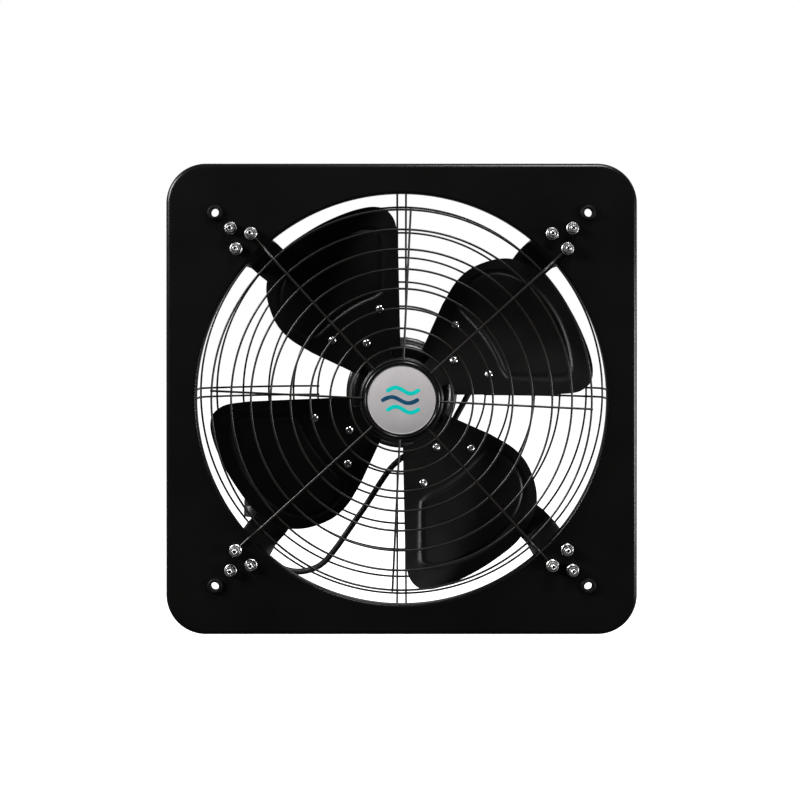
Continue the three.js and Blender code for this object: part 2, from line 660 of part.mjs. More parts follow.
// The ring of turns, with the ends where the cord comes in and goes out along its tangents.
function coilSolid() {
  const half = coil.height / 2;
  const round = 2.2;
  const { inner, outer, layer, tail } = coil;
  const ring = turned(closedRing([
    [inner, -half + round], [inner + round, -half], [outer - round, -half], [outer, -half + round],
    [outer, half - round], [outer - round, half], [inner + round, half], [inner, half - round],
  ]), 28);
  const end = (radius, angle, z, reach) => swept(new THREE.LineCurve3(
    coilPoint(radius, angle, z, reach / 6), coilPoint(radius, angle, z, reach)), cord.radius, cord.sides, 1);
  return inCoilFrame(join(
    ring, end(coil.entryRadius, coil.entryAngle, layer, -tail), end(coil.exitRadius, coil.exitAngle, -layer, tail)));
}
piece("cord_coil", coilSolid(), blackRubber);

// A tie is a flat loop round the coil's turns and the guard ring in front of them, at an angle round the coil.
function tieSolid(angle) {
  const half = tie.width / 2;
  const [spanIn, spanOut] = [coil.inner - 0.9, coil.outer + 0.9];
  const back = -coil.height / 2 - 0.5;
  const front = coil.away + ringLift + rearGuard.wire + tie.slack;
  const loop = (grow) => [
    [spanIn - grow, back - grow], [spanOut + grow, back - grow], [spanOut + grow, front + grow], [spanIn - grow, front + grow],
  ];
  const band = (points, reach) => {
    const settings = { depth: 2 * reach, bevelEnabled: false };
    return toSolid(new THREE.ExtrudeGeometry(shapeOf(points), settings).translate(0, 0, -reach).rotateX(Math.PI / 2));
  };
  return inCoilFrame(spun(cut(band(loop(tie.thickness), half), band(loop(0), half + 1)), angle));
}
tie.angles.forEach((angle, i) => piece(`cord_tie_${i + 1}`, tieSolid(angle), blackPlastic));

function plugSolid() {
  const { reliefLength, bodyLength, bodyRadius, pinLength, pinRadius, pinGap } = plug;
  const end = -reliefLength - bodyLength;
  const shell = turned([
    [0, 0], [cord.radius + 1, 0], [6.2, -reliefLength], [bodyRadius - 2, -reliefLength - 3],
    [bodyRadius, -reliefLength - 9], [bodyRadius, end], [0, end],
  ], 16);
  const pins = [-1, 1].map((side) => moved(disc(pinRadius, end - pinLength, end + 2, 8), (side * pinGap) / 2, 0, 0));
  // The plug's axis turns to the cord's way out of the coil, with its pins one behind the other.
  const start = coilPoint(coil.exitRadius, coil.exitAngle, -coil.layer, coil.tail + clearance);
  const along = join(shell, ...pins).rotate([0, -90, 0]);
  return inCoilFrame(moved(spun(along, coil.exitAngle + 90), start.x, start.y, start.z));
}
piece("plug", plugSolid(), blackPlastic);

// ---- Rotor ----
const bladeMiddle = rotor.restAngle;
const bladeDepth = (t) => blade.midDepth + blade.slope * t - blade.camber * t * t;
const bladeSlope = (t) => blade.slope - 2 * blade.camber * t;

// Points on the blade's own frame: x out along its middle line, y along the blade's width.
const onBlade = (radius, angle) => polar(radius, angle - bladeMiddle);

// A tool or rivet set square to the blade's front at one rivet place.
function atRivet(solid, [radius, angle]) {
  const [x, y] = onBlade(radius, angle);
  const tilt = THREE.MathUtils.radToDeg(Math.atan(bladeSlope(y)));
  return moved(solid.rotate([-tilt, 0, 0]), x, y, -bladeDepth(y));
}
const rivetHoles = () => rivetPlaces.map((place) => atRivet(disc(rivet.hole, -14, 14, 8), place));

function bladeSolid() {
  const loops = bladeOutline.map(([angle, drop]) => {
    const front = Array.from({ length: blade.rows + 1 }, (_, i) => {
      const radius = blade.rootRadius + ((tipRadius - drop - blade.rootRadius) * i) / blade.rows;
      const [x, y] = onBlade(radius, angle);
      return [x, y, -bladeDepth(y)];
    });
    const back = [...front].reverse().map(([x, y, z]) => [x, y, z - blade.thickness]);
    return [...front, ...back];
  });
  return cut(lofted(loops, "capped"), ...rivetHoles());
}

function spiderArm() {
  const { thickness, tipRadius: tip, tipHalf, neckHalf } = spider;
  const stations = [[8, neckHalf], [34, neckHalf], [62, neckHalf + 11], [tip - 18, tipHalf], [tip, tipHalf - 5]];
  const across = 4;
  const loops = stations.map(([radius, half]) => {
    const front = Array.from({ length: across + 1 }, (_, i) => {
      const t = half * ((2 * i) / across - 1);
      return [radius, t, -bladeDepth(t) - blade.thickness - clearance];
    });
    const back = [...front].reverse().map(([x, y, z]) => [x, y, z - thickness]);
    return [...front, ...back];
  });
  return cut(lofted(loops, "capped"), ...rivetHoles());
}

function hubSolid() {
  const boss = disc(rotor.hubRadius, -rotor.hubRear, -rotor.hubFront, 24);
  const arms = Array.from({ length: blade.count }, (_, k) =>
    spun(spiderArm(), bladeMiddle + (360 * k) / blade.count));
  const bore = disc(shaft.radius + clearance, -rotor.hubRear - 5, -rotor.hubFront + 5, 16);
  return cut(join(boss, ...arms), bore);
}

function rivetSolid(place) {
  const [, y] = onBlade(...place);
  const lean = Math.cos(Math.atan(bladeSlope(y)));
  const grip = (blade.thickness + clearance + spider.thickness) * lean + clearance;
  const { shank, head, headHeight, tailHeight } = rivet;
  const low = -grip - tailHeight;
  return turned([
    [0, low], [head - 0.8, low], [head - 0.8, -grip], [shank, -grip], [shank, clearance], [head, clearance],
    [head - 0.6, clearance + headHeight * 0.6], [head * 0.5, clearance + headHeight], [0, clearance + headHeight],
  ], 8);
}

piece("shaft", disc(shaft.radius, -(motorRear - shaft.rearInset), -shaft.frontDepth, 16), steel);
piece("rotor_core", tube(shaft.radius + clearance, rotor.coreRadius, motorCoreFront, motorCoreRear, 24), castMetal);
piece("hub", hubSolid(), blackPaint);
piece("hub_nut", cut(
  disc(9.5, -rotor.hubFront + clearance, -rotor.hubFront + clearance + rotor.nutHeight, 6),
  disc(shaft.radius + clearance, -rotor.hubFront - 2, -rotor.hubFront + 12, 16)), zinc);
for (let k = 0; k < blade.count; k++) {
  const turn = bladeMiddle + (360 * k) / blade.count;
  piece(`blade_${k + 1}`, spun(bladeSolid(), turn), blackPaint);
  rivetPlaces.forEach((place, i) =>
    piece(`blade_rivet_${rivetPlaces.length * k + i + 1}`, spun(atRivet(rivetSolid(place), place), turn), steel));
}

export default fan;
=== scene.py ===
import math

import bmesh
import bpy
import numpy as np
from mathutils import Matrix, Vector


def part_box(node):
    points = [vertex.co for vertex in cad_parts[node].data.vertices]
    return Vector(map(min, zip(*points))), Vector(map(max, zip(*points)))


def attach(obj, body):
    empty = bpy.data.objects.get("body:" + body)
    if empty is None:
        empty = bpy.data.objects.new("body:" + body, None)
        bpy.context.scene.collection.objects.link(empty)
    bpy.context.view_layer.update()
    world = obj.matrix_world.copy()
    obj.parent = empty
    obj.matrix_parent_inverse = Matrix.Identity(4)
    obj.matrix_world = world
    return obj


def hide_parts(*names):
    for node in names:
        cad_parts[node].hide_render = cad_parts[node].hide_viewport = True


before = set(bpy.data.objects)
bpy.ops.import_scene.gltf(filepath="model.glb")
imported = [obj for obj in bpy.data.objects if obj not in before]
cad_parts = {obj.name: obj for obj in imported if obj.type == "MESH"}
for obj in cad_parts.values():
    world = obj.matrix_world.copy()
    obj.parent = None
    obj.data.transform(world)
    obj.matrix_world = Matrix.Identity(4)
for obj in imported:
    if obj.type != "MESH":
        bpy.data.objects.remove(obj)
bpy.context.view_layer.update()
print("frame loaded:", len(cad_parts), "nodes")

# Pieces are drawn in millimetres as the fan is faced: x right, y up, z out of the plate's front.
plateLow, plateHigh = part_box("frame_plate")
plateFace = plateLow.y
toMetres = Matrix(((0.001, 0, 0, 0), (0, 0, -0.001, plateFace), (0, 0.001, 0, 0), (0, 0, 0, 1)))


def polar(radius, degrees):
    angle = math.radians(degrees)
    return radius * math.cos(angle), radius * math.sin(angle)


def turnAbout(axis, degrees):
    return Matrix.Rotation(math.radians(degrees), 4, axis)


def shift(x, y, z):
    return Matrix.Translation((x, y, z))


def atCorner(k):
    return turnAbout("Z", 45 + 90 * k)


# Even points on a smooth line through the given ones.
def smoothLine(points, stepLength):
    points = [Vector(p) for p in points]
    ends = [points[0] * 2 - points[1]] + points + [points[-1] * 2 - points[-2]]
    fine = []
    for i in range(1, len(ends) - 2):
        p0, p1, p2, p3 = ends[i - 1 : i + 3]
        t0 = 0.0
        t1 = t0 + max((p1 - p0).length, 1e-6) ** 0.5
        t2 = t1 + max((p2 - p1).length, 1e-6) ** 0.5
        t3 = t2 + max((p3 - p2).length, 1e-6) ** 0.5
        for n in range(24):
            t = t1 + (t2 - t1) * n / 24
            a1 = p0 * ((t1 - t) / (t1 - t0)) + p1 * ((t - t0) / (t1 - t0))
            a2 = p1 * ((t2 - t) / (t2 - t1)) + p2 * ((t - t1) / (t2 - t1))
            a3 = p2 * ((t3 - t) / (t3 - t2)) + p3 * ((t - t2) / (t3 - t2))
            b1 = a1 * ((t2 - t) / (t2 - t0)) + a2 * ((t - t0) / (t2 - t0))
            b2 = a2 * ((t3 - t) / (t3 - t1)) + a3 * ((t - t1) / (t3 - t1))
            fine.append(b1 * ((t2 - t) / (t2 - t1)) + b2 * ((t - t1) / (t2 - t1)))
    fine.append(points[-1])
    return evenly(fine, stepLength)


def evenly(points, stepLength):
    reach = [0.0]
    for a, b in zip(points, points[1:]):
        reach.append(reach[-1] + (b - a).length)
    count = max(2, round(reach[-1] / stepLength))
    line, k = [], 0
    for i in range(count + 1):
        want = reach[-1] * i / count
        while k < len(points) - 2 and reach[k + 1] < want:
            k += 1
        span = max(reach[k + 1] - reach[k], 1e-9)
        line.append(points[k].lerp(points[k + 1], min(1.0, (want - reach[k]) / span)))
    return line


# The view, level and square to the plate.
cameraSet = {"distance": 0.950, "height": 0.086, "lens": 42.75, "shiftX": -0.0020, "shiftY": -0.1084}
cameraData = bpy.data.cameras.new("studioCamera")
cameraData.lens = cameraSet["lens"]
cameraData.sensor_width = 36
cameraData.shift_x = cameraSet["shiftX"]
cameraData.shift_y = cameraSet["shiftY"]
cameraData.clip_start = 0.02
cameraData.clip_end = 60
camera = bpy.data.objects.new("studioCamera", cameraData)
camera.location = (0, plateFace - cameraSet["distance"], cameraSet["height"])
camera.rotation_euler = (math.radians(90), 0, 0)
bpy.context.collection.objects.link(camera)
bpy.context.scene.camera = camera
print("camera set")



# Mottled colour, roughness and bump from noise at the finish's own scale.
def makeFinish(name, look):
    finish = bpy.data.materials.new(name)
    finish.use_nodes = True
    nodes, links = finish.node_tree.nodes, finish.node_tree.links
    shader = nodes["Principled BSDF"]
    shader.inputs["Metallic"].default_value = look.get("metal", 0)
    shader.inputs["IOR"].default_value = look.get("ior", 1.5)
    shader.inputs["Specular IOR Level"].default_value = look.get("shine", 0.5)
    shader.inputs["Coat Weight"].default_value = look.get("coat", 0)
    shader.inputs["Coat Roughness"].default_value = look.get("coatRoughness", 0.1)
    shader.inputs["Sheen Weight"].default_value = look.get("sheen", 0)
    place = nodes.new("ShaderNodeTexCoord")
    spread = nodes.new("ShaderNodeMapping")
    spread.inputs["Scale"].default_value = look.get("stretch", (1, 1, 1))
    links.new(place.outputs["Object"], spread.inputs["Vector"])

    def noise(scale, detail):
        node = nodes.new("ShaderNodeTexNoise")
        node.inputs["Scale"].default_value = scale
        node.inputs["Detail"].default_value = detail
        links.new(spread.outputs["Vector"], node.inputs["Vector"])
        return node.outputs["Fac"]

    tint = nodes.new("ShaderNodeValToRGB")
    tint.color_ramp.elements[0].position = 0.3
    tint.color_ramp.elements[1].position = 0.7
    tint.color_ramp.elements[0].color = (*look["dark"], 1)
    tint.color_ramp.elements[1].color = (*look["light"], 1)
    links.new(noise(look["patch"], 4), tint.inputs["Fac"])
    links.new(tint.outputs["Color"], shader.inputs["Base Color"])
    gloss = nodes.new("ShaderNodeMapRange")
    gloss.inputs["From Min"].default_value = 0.3
    gloss.inputs["From Max"].default_value = 0.7
    gloss.inputs["To Min"].default_value = look["rough"][0]
    gloss.inputs["To Max"].default_value = look["rough"][1]
    links.new(noise(look["patch"] * 3.1, 3), gloss.inputs["Value"])
    links.new(gloss.outputs["Result"], shader.inputs["Roughness"])
    bump = nodes.new("ShaderNodeBump")
    bump.inputs["Strength"].default_value = look["bump"]
    bump.inputs["Distance"].default_value = look.get("depth", 0.0002)
    links.new(noise(look["grain"], 2), bump.inputs["Height"])
    links.new(bump.outputs["Normal"], shader.inputs["Normal"])
    return finish


blackEnamel = {"dark": (0.0036, 0.0035, 0.0034), "light": (0.0056, 0.0053, 0.0051), "shine": 0.34,
    "rough": (0.26, 0.32), "patch": 9, "grain": 900, "bump": 0.05}
finishes = {
    "plateEnamel": makeFinish("plateEnamel", {**blackEnamel, "shine": 0.26, "rough": (0.24, 0.3)}),
    "bladeEnamel": makeFinish("bladeEnamel",
        {**blackEnamel, "shine": 0.24, "rough": (0.3, 0.36), "patch": 14}),
    "armEnamel": makeFinish("armEnamel", {**blackEnamel, "rough": (0.28, 0.36), "patch": 20}),
    "wireCoat": makeFinish("wireCoat", {**blackEnamel, "dark": (0.008, 0.0064, 0.0056),
        "light": (0.013, 0.0104, 0.009), "shine": 0.5, "rough": (0.3, 0.38), "patch": 60, "bump": 0.03}),
    "castMotor": makeFinish("castMotor", {**blackEnamel, "shine": 0.7, "rough": (0.2, 0.28), "patch": 35,
        "grain": 1500, "bump": 0.06}),
    "zincPlate": makeFinish("zincPlate", {"dark": (0.72, 0.72, 0.72), "light": (0.95, 0.95, 0.94), "metal": 1,
        "rough": (0.34, 0.42), "patch": 140, "grain": 1400, "bump": 0.02}),
    # dark steel for the nut's hex body: painted shade, giving the dark ring between the bright zinc flange
    # and collar
    "nutPaintedShade": makeFinish("nutPaintedShade", {"dark": (0.03, 0.03, 0.03), "light": (0.07, 0.069, 0.067), "metal": 1,
        "rough": (0.3, 0.4), "patch": 120, "grain": 1400, "bump": 0.02}),
    "brightRivet": makeFinish("brightRivet",
        {"dark": (0.72, 0.72, 0.72), "light": (0.95, 0.95, 0.94), "metal": 1, "rough": (0.18, 0.32),
        "patch": 300, "grain": 1600, "bump": 0.12}),
    "groundSteel": makeFinish("groundSteel",
        {"dark": (0.42, 0.42, 0.43), "light": (0.62, 0.62, 0.62), "metal": 1, "rough": (0.2, 0.32),
        "patch": 90, "grain": 2400, "bump": 0.08, "stretch": (1, 8, 1)}),
    "stackedSteel": makeFinish("stackedSteel",
        {"dark": (0.12, 0.115, 0.11), "light": (0.26, 0.25, 0.24), "metal": 0.9, "rough": (0.4, 0.55),
        "patch": 40, "grain": 60, "bump": 0.4, "stretch": (1, 30, 1)}),
    "windingCopper": makeFinish("windingCopper",
        {"dark": (0.3, 0.1, 0.035), "light": (0.55, 0.22, 0.09), "metal": 0.85, "rough": (0.25, 0.4),
        "patch": 120, "grain": 500, "bump": 0.5, "stretch": (3, 1, 3)}),
    "softRubber": makeFinish("softRubber", {"dark": (0.003, 0.003, 0.003), "light": (0.0045, 0.0045, 0.0044),
        "shine": 0.12, "rough": (0.5, 0.66), "patch": 150, "grain": 1300, "bump": 0.15}),
    "cordJacket": makeFinish("cordJacket", {"dark": (0.009, 0.009, 0.009), "light": (0.016, 0.016, 0.0155),
        "rough": (0.42, 0.55), "patch": 110, "grain": 1100, "bump": 0.1, "sheen": 0.05}),
    # black moulded plastic; on the bell screws it also paints the shade of the cross slots
    "mouldedBlackAndSlotShade": makeFinish("mouldedBlackAndSlotShade",
        {"dark": (0.008, 0.008, 0.008), "light": (0.0135, 0.0135, 0.013), "rough": (0.34, 0.46), "patch": 70,
        "grain": 1800, "bump": 0.16}),
    "bezelGloss": makeFinish("bezelGloss", {"dark": (0.006, 0.006, 0.006), "light": (0.01, 0.01, 0.01),
        "rough": (0.16, 0.24), "patch": 60, "grain": 700, "bump": 0.03}),
    "badgeGrey": makeFinish("badgeGrey", {"dark": (0.47, 0.447, 0.452), "light": (0.5, 0.476, 0.481),
        "rough": (0.36, 0.44), "patch": 90, "grain": 1900, "bump": 0.04}),
    "badgeRim": makeFinish("badgeRim", {"dark": (0.6, 0.6, 0.6), "light": (0.78, 0.78, 0.77), "metal": 1,
        "rough": (0.14, 0.22), "patch": 150, "grain": 1500, "bump": 0.04}),
    "tealInk": makeFinish("tealInk", {"dark": (0.0, 0.6, 0.52), "light": (0.0, 0.68, 0.6),
        "rough": (0.3, 0.4), "patch": 200, "grain": 1900, "bump": 0.05}),
    "navyInk": makeFinish("navyInk", {"dark": (0.006, 0.06, 0.13), "light": (0.008, 0.085, 0.17),
        "rough": (0.3, 0.4), "patch": 200, "grain": 1900, "bump": 0.05}),
    "nylonStrap": makeFinish("nylonStrap", {"dark": (0.008, 0.008, 0.008), "light": (0.014, 0.014, 0.014),
        "rough": (0.3, 0.42), "patch": 130, "grain": 1000, "bump": 0.1}),
    "nickelPin": makeFinish("nickelPin", {"dark": (0.66, 0.63, 0.57), "light": (0.82, 0.79, 0.72), "metal": 1,
        "rough": (0.12, 0.22), "patch": 200, "grain": 1500, "bump": 0.04}),
}
print("finishes:", len(finishes))


# Meshes are built from loops, profiles and prisms, joined into one object per piece.
# A shape is (points, faces, finish number), in drawing millimetres.
def spin(profile, steps=48, place=Matrix(), ring=False, mark=0):
    points, faces, rows = [], [], []
    for radius, height in profile:
        if radius < 1e-6:
            rows.append([len(points)] * steps)
            points.append(place @ Vector((0, 0, height)))
            continue
        rows.append(list(range(len(points), len(points) + steps)))
        for i in range(steps):
            x, y = polar(radius, 360 * i / steps)
            points.append(place @ Vector((x, y, height)))
    for low, high in list(zip(rows, rows[1:])) + ([(rows[-1], rows[0])] if ring else []):
        for i in range(steps):
            j = (i + 1) % steps
            face = list(dict.fromkeys((low[i], low[j], high[j], high[i])))
            if len(face) > 2:
                faces.append(face)
    return points, faces, mark


# Loops of equal length skinned in order; capped at both ends unless they close into a ring.
def skin(loops, place=Matrix(), ring=False, mark=0):
    count = len(loops[0])
    points = [place @ Vector(p) for loop in loops for p in loop]
    faces = []
    for k in range(len(loops) if ring else len(loops) - 1):
        a, b = k * count, ((k + 1) % len(loops)) * count
        for i in range(count):
            j = (i + 1) % count
            faces.append((a + i, a + j, b + j, b + i))
    if not ring:
        faces.append(tuple(range(count)))
        faces.append(tuple((len(loops) - 1) * count + i for i in range(count)))
    return points, faces, mark


def prism(outline, low, high, place=Matrix(), mark=0):
    return skin([[(x, y, low) for x, y in outline], [(x, y, high) for x, y in outline]], place, mark=mark)


def hexagon(corner, turn=0):
    return [polar(corner, turn + 60 * i) for i in range(6)]


def roundedBox(halfX, halfY, radius, steps=6):
    outline = []
    for cx, cy, start in ((1, 1, 0), (-1, 1, 90), (-1, -1, 180), (1, -1, 270)):
        for i in range(steps + 1):
            x, y = polar(radius, start + 90 * i / steps)
            outline.append((cx * (halfX - radius) + x, cy * (halfY - radius) + y))
    return outline


def finishPiece(piece, looks, body, stands):
    for look in looks:
        piece.data.materials.append(finishes[look])
    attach(piece, body)
    if stands:
        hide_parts(*stands)
    return piece


def meshPiece(name, shapes, looks, body="frame", stands=(), sharp=34, bevel=0, turn=None):
    mesh = bpy.data.meshes.new(name)
    points, faces, marks = [], [], []
    for shapePoints, shapeFaces, mark in shapes:
        base = len(points)
        points += [toMetres @ Vector(p) for p in shapePoints]
        faces += [[base + i for i in face] for face in shapeFaces]
        marks += [mark] * len(shapeFaces)
    mesh.from_pydata(points, [], faces)
    mesh.polygons.foreach_set("material_index", marks)
    work = bmesh.new()
    work.from_mesh(mesh)
    bmesh.ops.recalc_face_normals(work, faces=work.faces)
    work.to_mesh(mesh)
    work.free()
    mesh.shade_smooth()
    mesh.set_sharp_from_angle(angle=math.radians(sharp))
    piece = bpy.data.objects.new(name, mesh)
    bpy.context.collection.objects.link(piece)
    if bevel:
        rounder = piece.modifiers.new("softEdges", "BEVEL")
        rounder.width = bevel / 1000
        rounder.segments = 2
        rounder.limit_method = "ANGLE"
        rounder.angle_limit = math.radians(sharp)
        rounder.harden_normals = True
    if turn is not None:
        piece.matrix_world = Matrix.Rotation(math.radians(-turn), 4, "Y")
    return finishPiece(piece, looks, body, stands)


# Runs are (points, closed) in drawing millimetres, made into one round wire piece.
def wirePiece(name, runs, radius, look, body="frame", stands=(), sides=3):
    line = bpy.data.curves.new(name, "CURVE")
    line.dimensions = "3D"
    line.bevel_depth = radius / 1000
    line.bevel_resolution = sides
    line.use_fill_caps = True
    for points, closed in runs:
        spline = line.splines.new("POLY")
        spline.points.add(len(points) - 1)
        for spot, point in zip(spline.points, points):
            spot.co = (*(toMetres @ Vector(point)), 1)
        spline.use_cyclic_u = closed
        spline.use_smooth = True
    piece = bpy.data.objects.new(name, line)
    bpy.context.collection.objects.link(piece)
    return finishPiece(piece, [look], body, stands)


def ringRun(radius, z, steps=180):
    return [(*polar(radius, 360 * i / steps), z) for i in range(steps)], True


# The mains lead, coiled behind the rear guard.
mainsCord = {
    "radius": 3.25,
    "route": [
        (84, 33.7, 91.5), (83.5, 23.5, 92), (78, 7.5, 92), (70.5, -7.5, 92), (62.5, -22, 92), (54, -37, 92),
        (44.5, -48.5, 92), (32.5, -57, 92.5), (18, -63.5, 93), (3, -71, 94), (-10.5, -82.5, 94),
        (-21, -96.5, 93),
        (-31, -112, 92), (-40.5, -126.5, 90.5), (-51, -141, 88.5), (-61, -155, 85.5), (-71.5, -169, 80),
        (-84.5, -182.5, 71.5), (-96.5, -187.5, 64.5), (-109.5, -188.5, 59.5), (-122.5, -186, 57.5),
        (-134, -181, 59),
        (-144, -175, 64.5), (-152, -167.5, 74), (-155, -159, 87), (-151, -149, 97.5), (-142.5, -140, 104.5),
        (-131.5, -131, 108.5), (-121, -122, 111.5), (-110.7, -111.5, 113.8),
    ],  # x, y and depth behind the plate's face
}
cordCoil = {
    "place": turnAbout("Z", 206.5) @ shift(134.5, 0, -119.69) @ turnAbout("Y", -9.862),
    "start": 108.5,
    "firstLayer": (43, 29.4, 2.0), "change": 0.4, "secondLayer": (29.6, 44.4, 2.225),  # radii and turns
    "layer": 3.4,
    "tail": 30,
}


def coilLine():
    coil, points = cordCoil, []
    outer, inner, turns = coil["firstLayer"]
    inner2, outer2, turns2 = coil["secondLayer"]
    total = turns + coil["change"] + turns2
    count = round(total * 72)
    for i in range(count + 1):
        done = total * i / count
        if done <= turns:
            radius, z = outer + (inner - outer) * done / turns, coil["layer"]
        elif done <= turns + coil["change"]:
            share = (done - turns) / coil["change"]
            ease = share * share * (3 - 2 * share)
            radius, z = inner + (inner2 - inner) * ease, coil["layer"] * (1 - 2 * ease)
        else:
            radius, z = inner2 + (outer2 - inner2) * (done - turns - coil["change"]) / turns2, -coil["layer"]
        x, y = polar(radius, coil["start"] + 360 * done)
        points.append(coil["place"] @ Vector((x, y, z)))
    endAngle = coil["start"] + 360 * total
    x, y = polar(outer2, endAngle)
    dx, dy = polar(1, endAngle + 90)
    tail = [coil["place"] @ Vector((x + dx * s, y + dy * s, -coil["layer"])) for s in (6, 12, 18, 24,
        coil["tail"])]
    return points + tail


route = smoothLine([(x, y, -depth) for x, y, depth in mainsCord["route"]] + [p for p in coilLine()[:1]], 3.5)
cordLine = route[:-1] + coilLine()
cordPiece = wirePiece("mainsLead", [(cordLine, False)], mainsCord["radius"], "cordJacket",
                      stands=("mains_cord", "cord_coil"), sides=5)

cordTies = {"width": 9, "thick": 1.2, "angles": (180, 20), "inner": 24.1, "outer": 49.5, "back": -8.2,
    "front": 13.8, "corner": 3.4}


def tieShapes(angle):
    tie = cordTies
    middle = ((tie["inner"] + tie["outer"]) / 2, (tie["back"] + tie["front"]) / 2)
    halfSpan, halfDeep = (tie["outer"] - tie["inner"]) / 2, (tie["front"] - tie["back"]) / 2
    place = cordCoil["place"] @ turnAbout("Z", angle)
    outside = roundedBox(halfSpan, halfDeep, tie["corner"])
    inside = roundedBox(halfSpan - tie["thick"], halfDeep - tie["thick"], tie["corner"] - tie["thick"])
    half = tie["width"] / 2
    loops = [[(middle[0] + a, side, middle[1] + b) for a, b in edge] for edge, side in
             ((outside, -half), (outside, half), (inside, half), (inside, -half))]
    head = prism(roundedBox(5.2, half + 1, 1), 0, 3.4, place @ shift(middle[0] + 4, 0, tie["back"] - 3.2))
    end = prism(roundedBox(6, half - 1.2, 0.8), 0, 1, place @ shift(middle[0] - 5, 0, tie["back"] - 1.1))
    return [skin(loops, place, ring=True), head, end]


tiePieces = [
    meshPiece(f"strap{i + 1}", tieShapes(angle), ["nylonStrap"],
    stands=(f"cord_tie_{i + 1}",), bevel=0.3)
    for i, angle in enumerate(cordTies["angles"])
]

plugSet = {"relief": 24, "body": 26, "radius": 11.5, "pin": 17, "pinRadius": 2, "pinGap": 13, "ribs": 6}


def plugShapes():
    plug = plugSet
    turnCount = cordCoil["firstLayer"][2] + cordCoil["change"] + cordCoil["secondLayer"][2]
    endAngle = cordCoil["start"] + 360 * turnCount
    x, y = polar(cordCoil["secondLayer"][1], endAngle)
    dx, dy = polar(cordCoil["tail"] + 0.3, endAngle + 90)
    place = cordCoil["place"] @ shift(x + dx, y + dy, -cordCoil["layer"]) @ turnAbout("Z",
        endAngle + 90) @ turnAbout("Y", -90)
    wide, long = mainsCord["radius"] + 1, plug["relief"]
    profile = [(0, 0), (wide - 0.5, 0)]
    for i in range(plug["ribs"]):  # ribbed strain relief, widening to the body
        near, grow = long * (i + 0.15) / plug["ribs"], (6.2 - wide) * i / plug["ribs"]
        profile += [(wide + grow, -near), (wide + grow + 0.2, -near - 2.4), (wide + grow - 0.7, -near - 2.7),
            (wide + grow - 0.7, -near - 3.5)]
    end = -long - plug["body"]
    radius = plug["radius"]
    profile += [(6.4, -long), (8.6, -long - 1.2), (10.6, -long - 4), (radius - 0.3, -long - 8),
        (radius, -long - 12)]
    profile += [(radius - 0.5, -long - 13), (radius - 0.5, -long - 14), (radius, -long - 15),
        (radius, end + 1), (radius - 1, end), (0, end)]
    shapes = [spin(profile, 40, place)]
    for side in (-1, 1):
        at = place @ shift(side * plug["pinGap"] / 2, 0, 0)
        shapes.append(spin([(0, end + 1), (plug["pinRadius"] - 0.15, end + 1),
            (plug["pinRadius"] - 0.15, end - 8), (0, end - 8)], 20, at))
        shapes.append(spin([(0, end - 7.9), (plug["pinRadius"], end - 7.9),
            (plug["pinRadius"], end - plug["pin"] + 1.2),
                            (plug["pinRadius"] * 0.55, end - plug["pin"]), (0, end - plug["pin"])], 20, at,
                            mark=1))
    return shapes


plugPiece = meshPiece("plugBody", plugShapes(), ["mouldedBlackAndSlotShade", "nickelPin"],
    stands=("plug",))


# Pressed square plate with its opening.
plateSet = {
    "half": 1000 * plateHigh.x, "corner": 40, "opening": 206, "thick": 1.5, "rim": 14, "bend": 5.5,
    "lip": 8, "lipBend": 2.5, "cornerSteps": 24, "sideSteps": 34,
    "hole": 6.3, "holeOut": 263.75,  # for the rubber grommets
}


def plateOutline(inset):
    radius = max(plateSet["corner"] - inset, 1)
    centre = plateSet["half"] - inset - radius
    outline = []
    for k in range(4):
        for i in range(plateSet["cornerSteps"] + 1):
            x, y = polar(radius, 90 * i / plateSet["cornerSteps"])
            outline.append(Vector((centre + x, centre + y)))
        for i in range(1, plateSet["sideSteps"]):
            outline.append(Vector((centre * (1 - 2 * i / plateSet["sideSteps"]), plateSet["half"] - inset)))
        start = k * (plateSet["cornerSteps"] + plateSet["sideSteps"])
        outline[start:] = [Matrix.Rotation(math.radians(90 * k), 2) @ p for p in outline[start:]]
    return outline


def plateShape():
    plate = plateSet
    count = 4 * (plate["cornerSteps"] + plate["sideSteps"])
    lead = 45 - 180 * plate["cornerSteps"] / count

    def square(inset, z):
        return [(p.x, p.y, z) for p in plateOutline(inset)]

    def circle(radius, z):
        return [(*polar(radius, lead + 360 * i / count), z) for i in range(count)]

    thick, bend, lipBend, opening = plate["thick"], plate["bend"], plate["lipBend"], plate["opening"]
    loops = [square(0, -plate["rim"]), square(0, -bend - 1)]
    for i in range(9):  # outer bend, from the rim up to the face
        angle = math.radians(90 * i / 8)
        loops.append(square(bend * (1 - math.cos(angle)), -bend * (1 - math.sin(angle))))
    loops += [square(bend + 0.8, 0), circle(opening + lipBend + 0.8, 0)]
    for i in range(7):  # lip bend into the opening
        angle = math.radians(90 * i / 6)
        loops.append(circle(opening + lipBend * (1 - math.sin(angle)), -lipBend * (1 - math.cos(angle))))
    loops += [circle(opening, -lipBend - 1), circle(opening, -plate["lip"]),
        circle(opening + thick, -plate["lip"]),
              circle(opening + thick, -thick - 1.6)]
    for i in range(1, 5):
        angle = math.radians(90 * i / 4)
        loops.append(circle(opening + thick + (1 - math.cos(angle)), -thick - 1 + math.sin(angle)))
    loops += [circle(opening + lipBend + 1.5, -thick), square(bend + 0.8, -thick)]
    for i in range(6):
        angle = math.radians(90 * i / 5)
        loops.append(square(thick + (bend - thick) * (1 - math.sin(angle)),
            -thick - (bend - thick) * (1 - math.cos(angle))))
    loops.append(square(thick, -plate["rim"]))
    return skin(loops, ring=True)


def socketShapes():  # blocks on the plate's back that hold the rear guard's legs
    return [prism([(213, -9.75), (223, -9.75), (223, 9.75), (213, 9.75)], -7.5, -1.2,
        turnAbout("Z", 90 * k)) for k in range(4)]


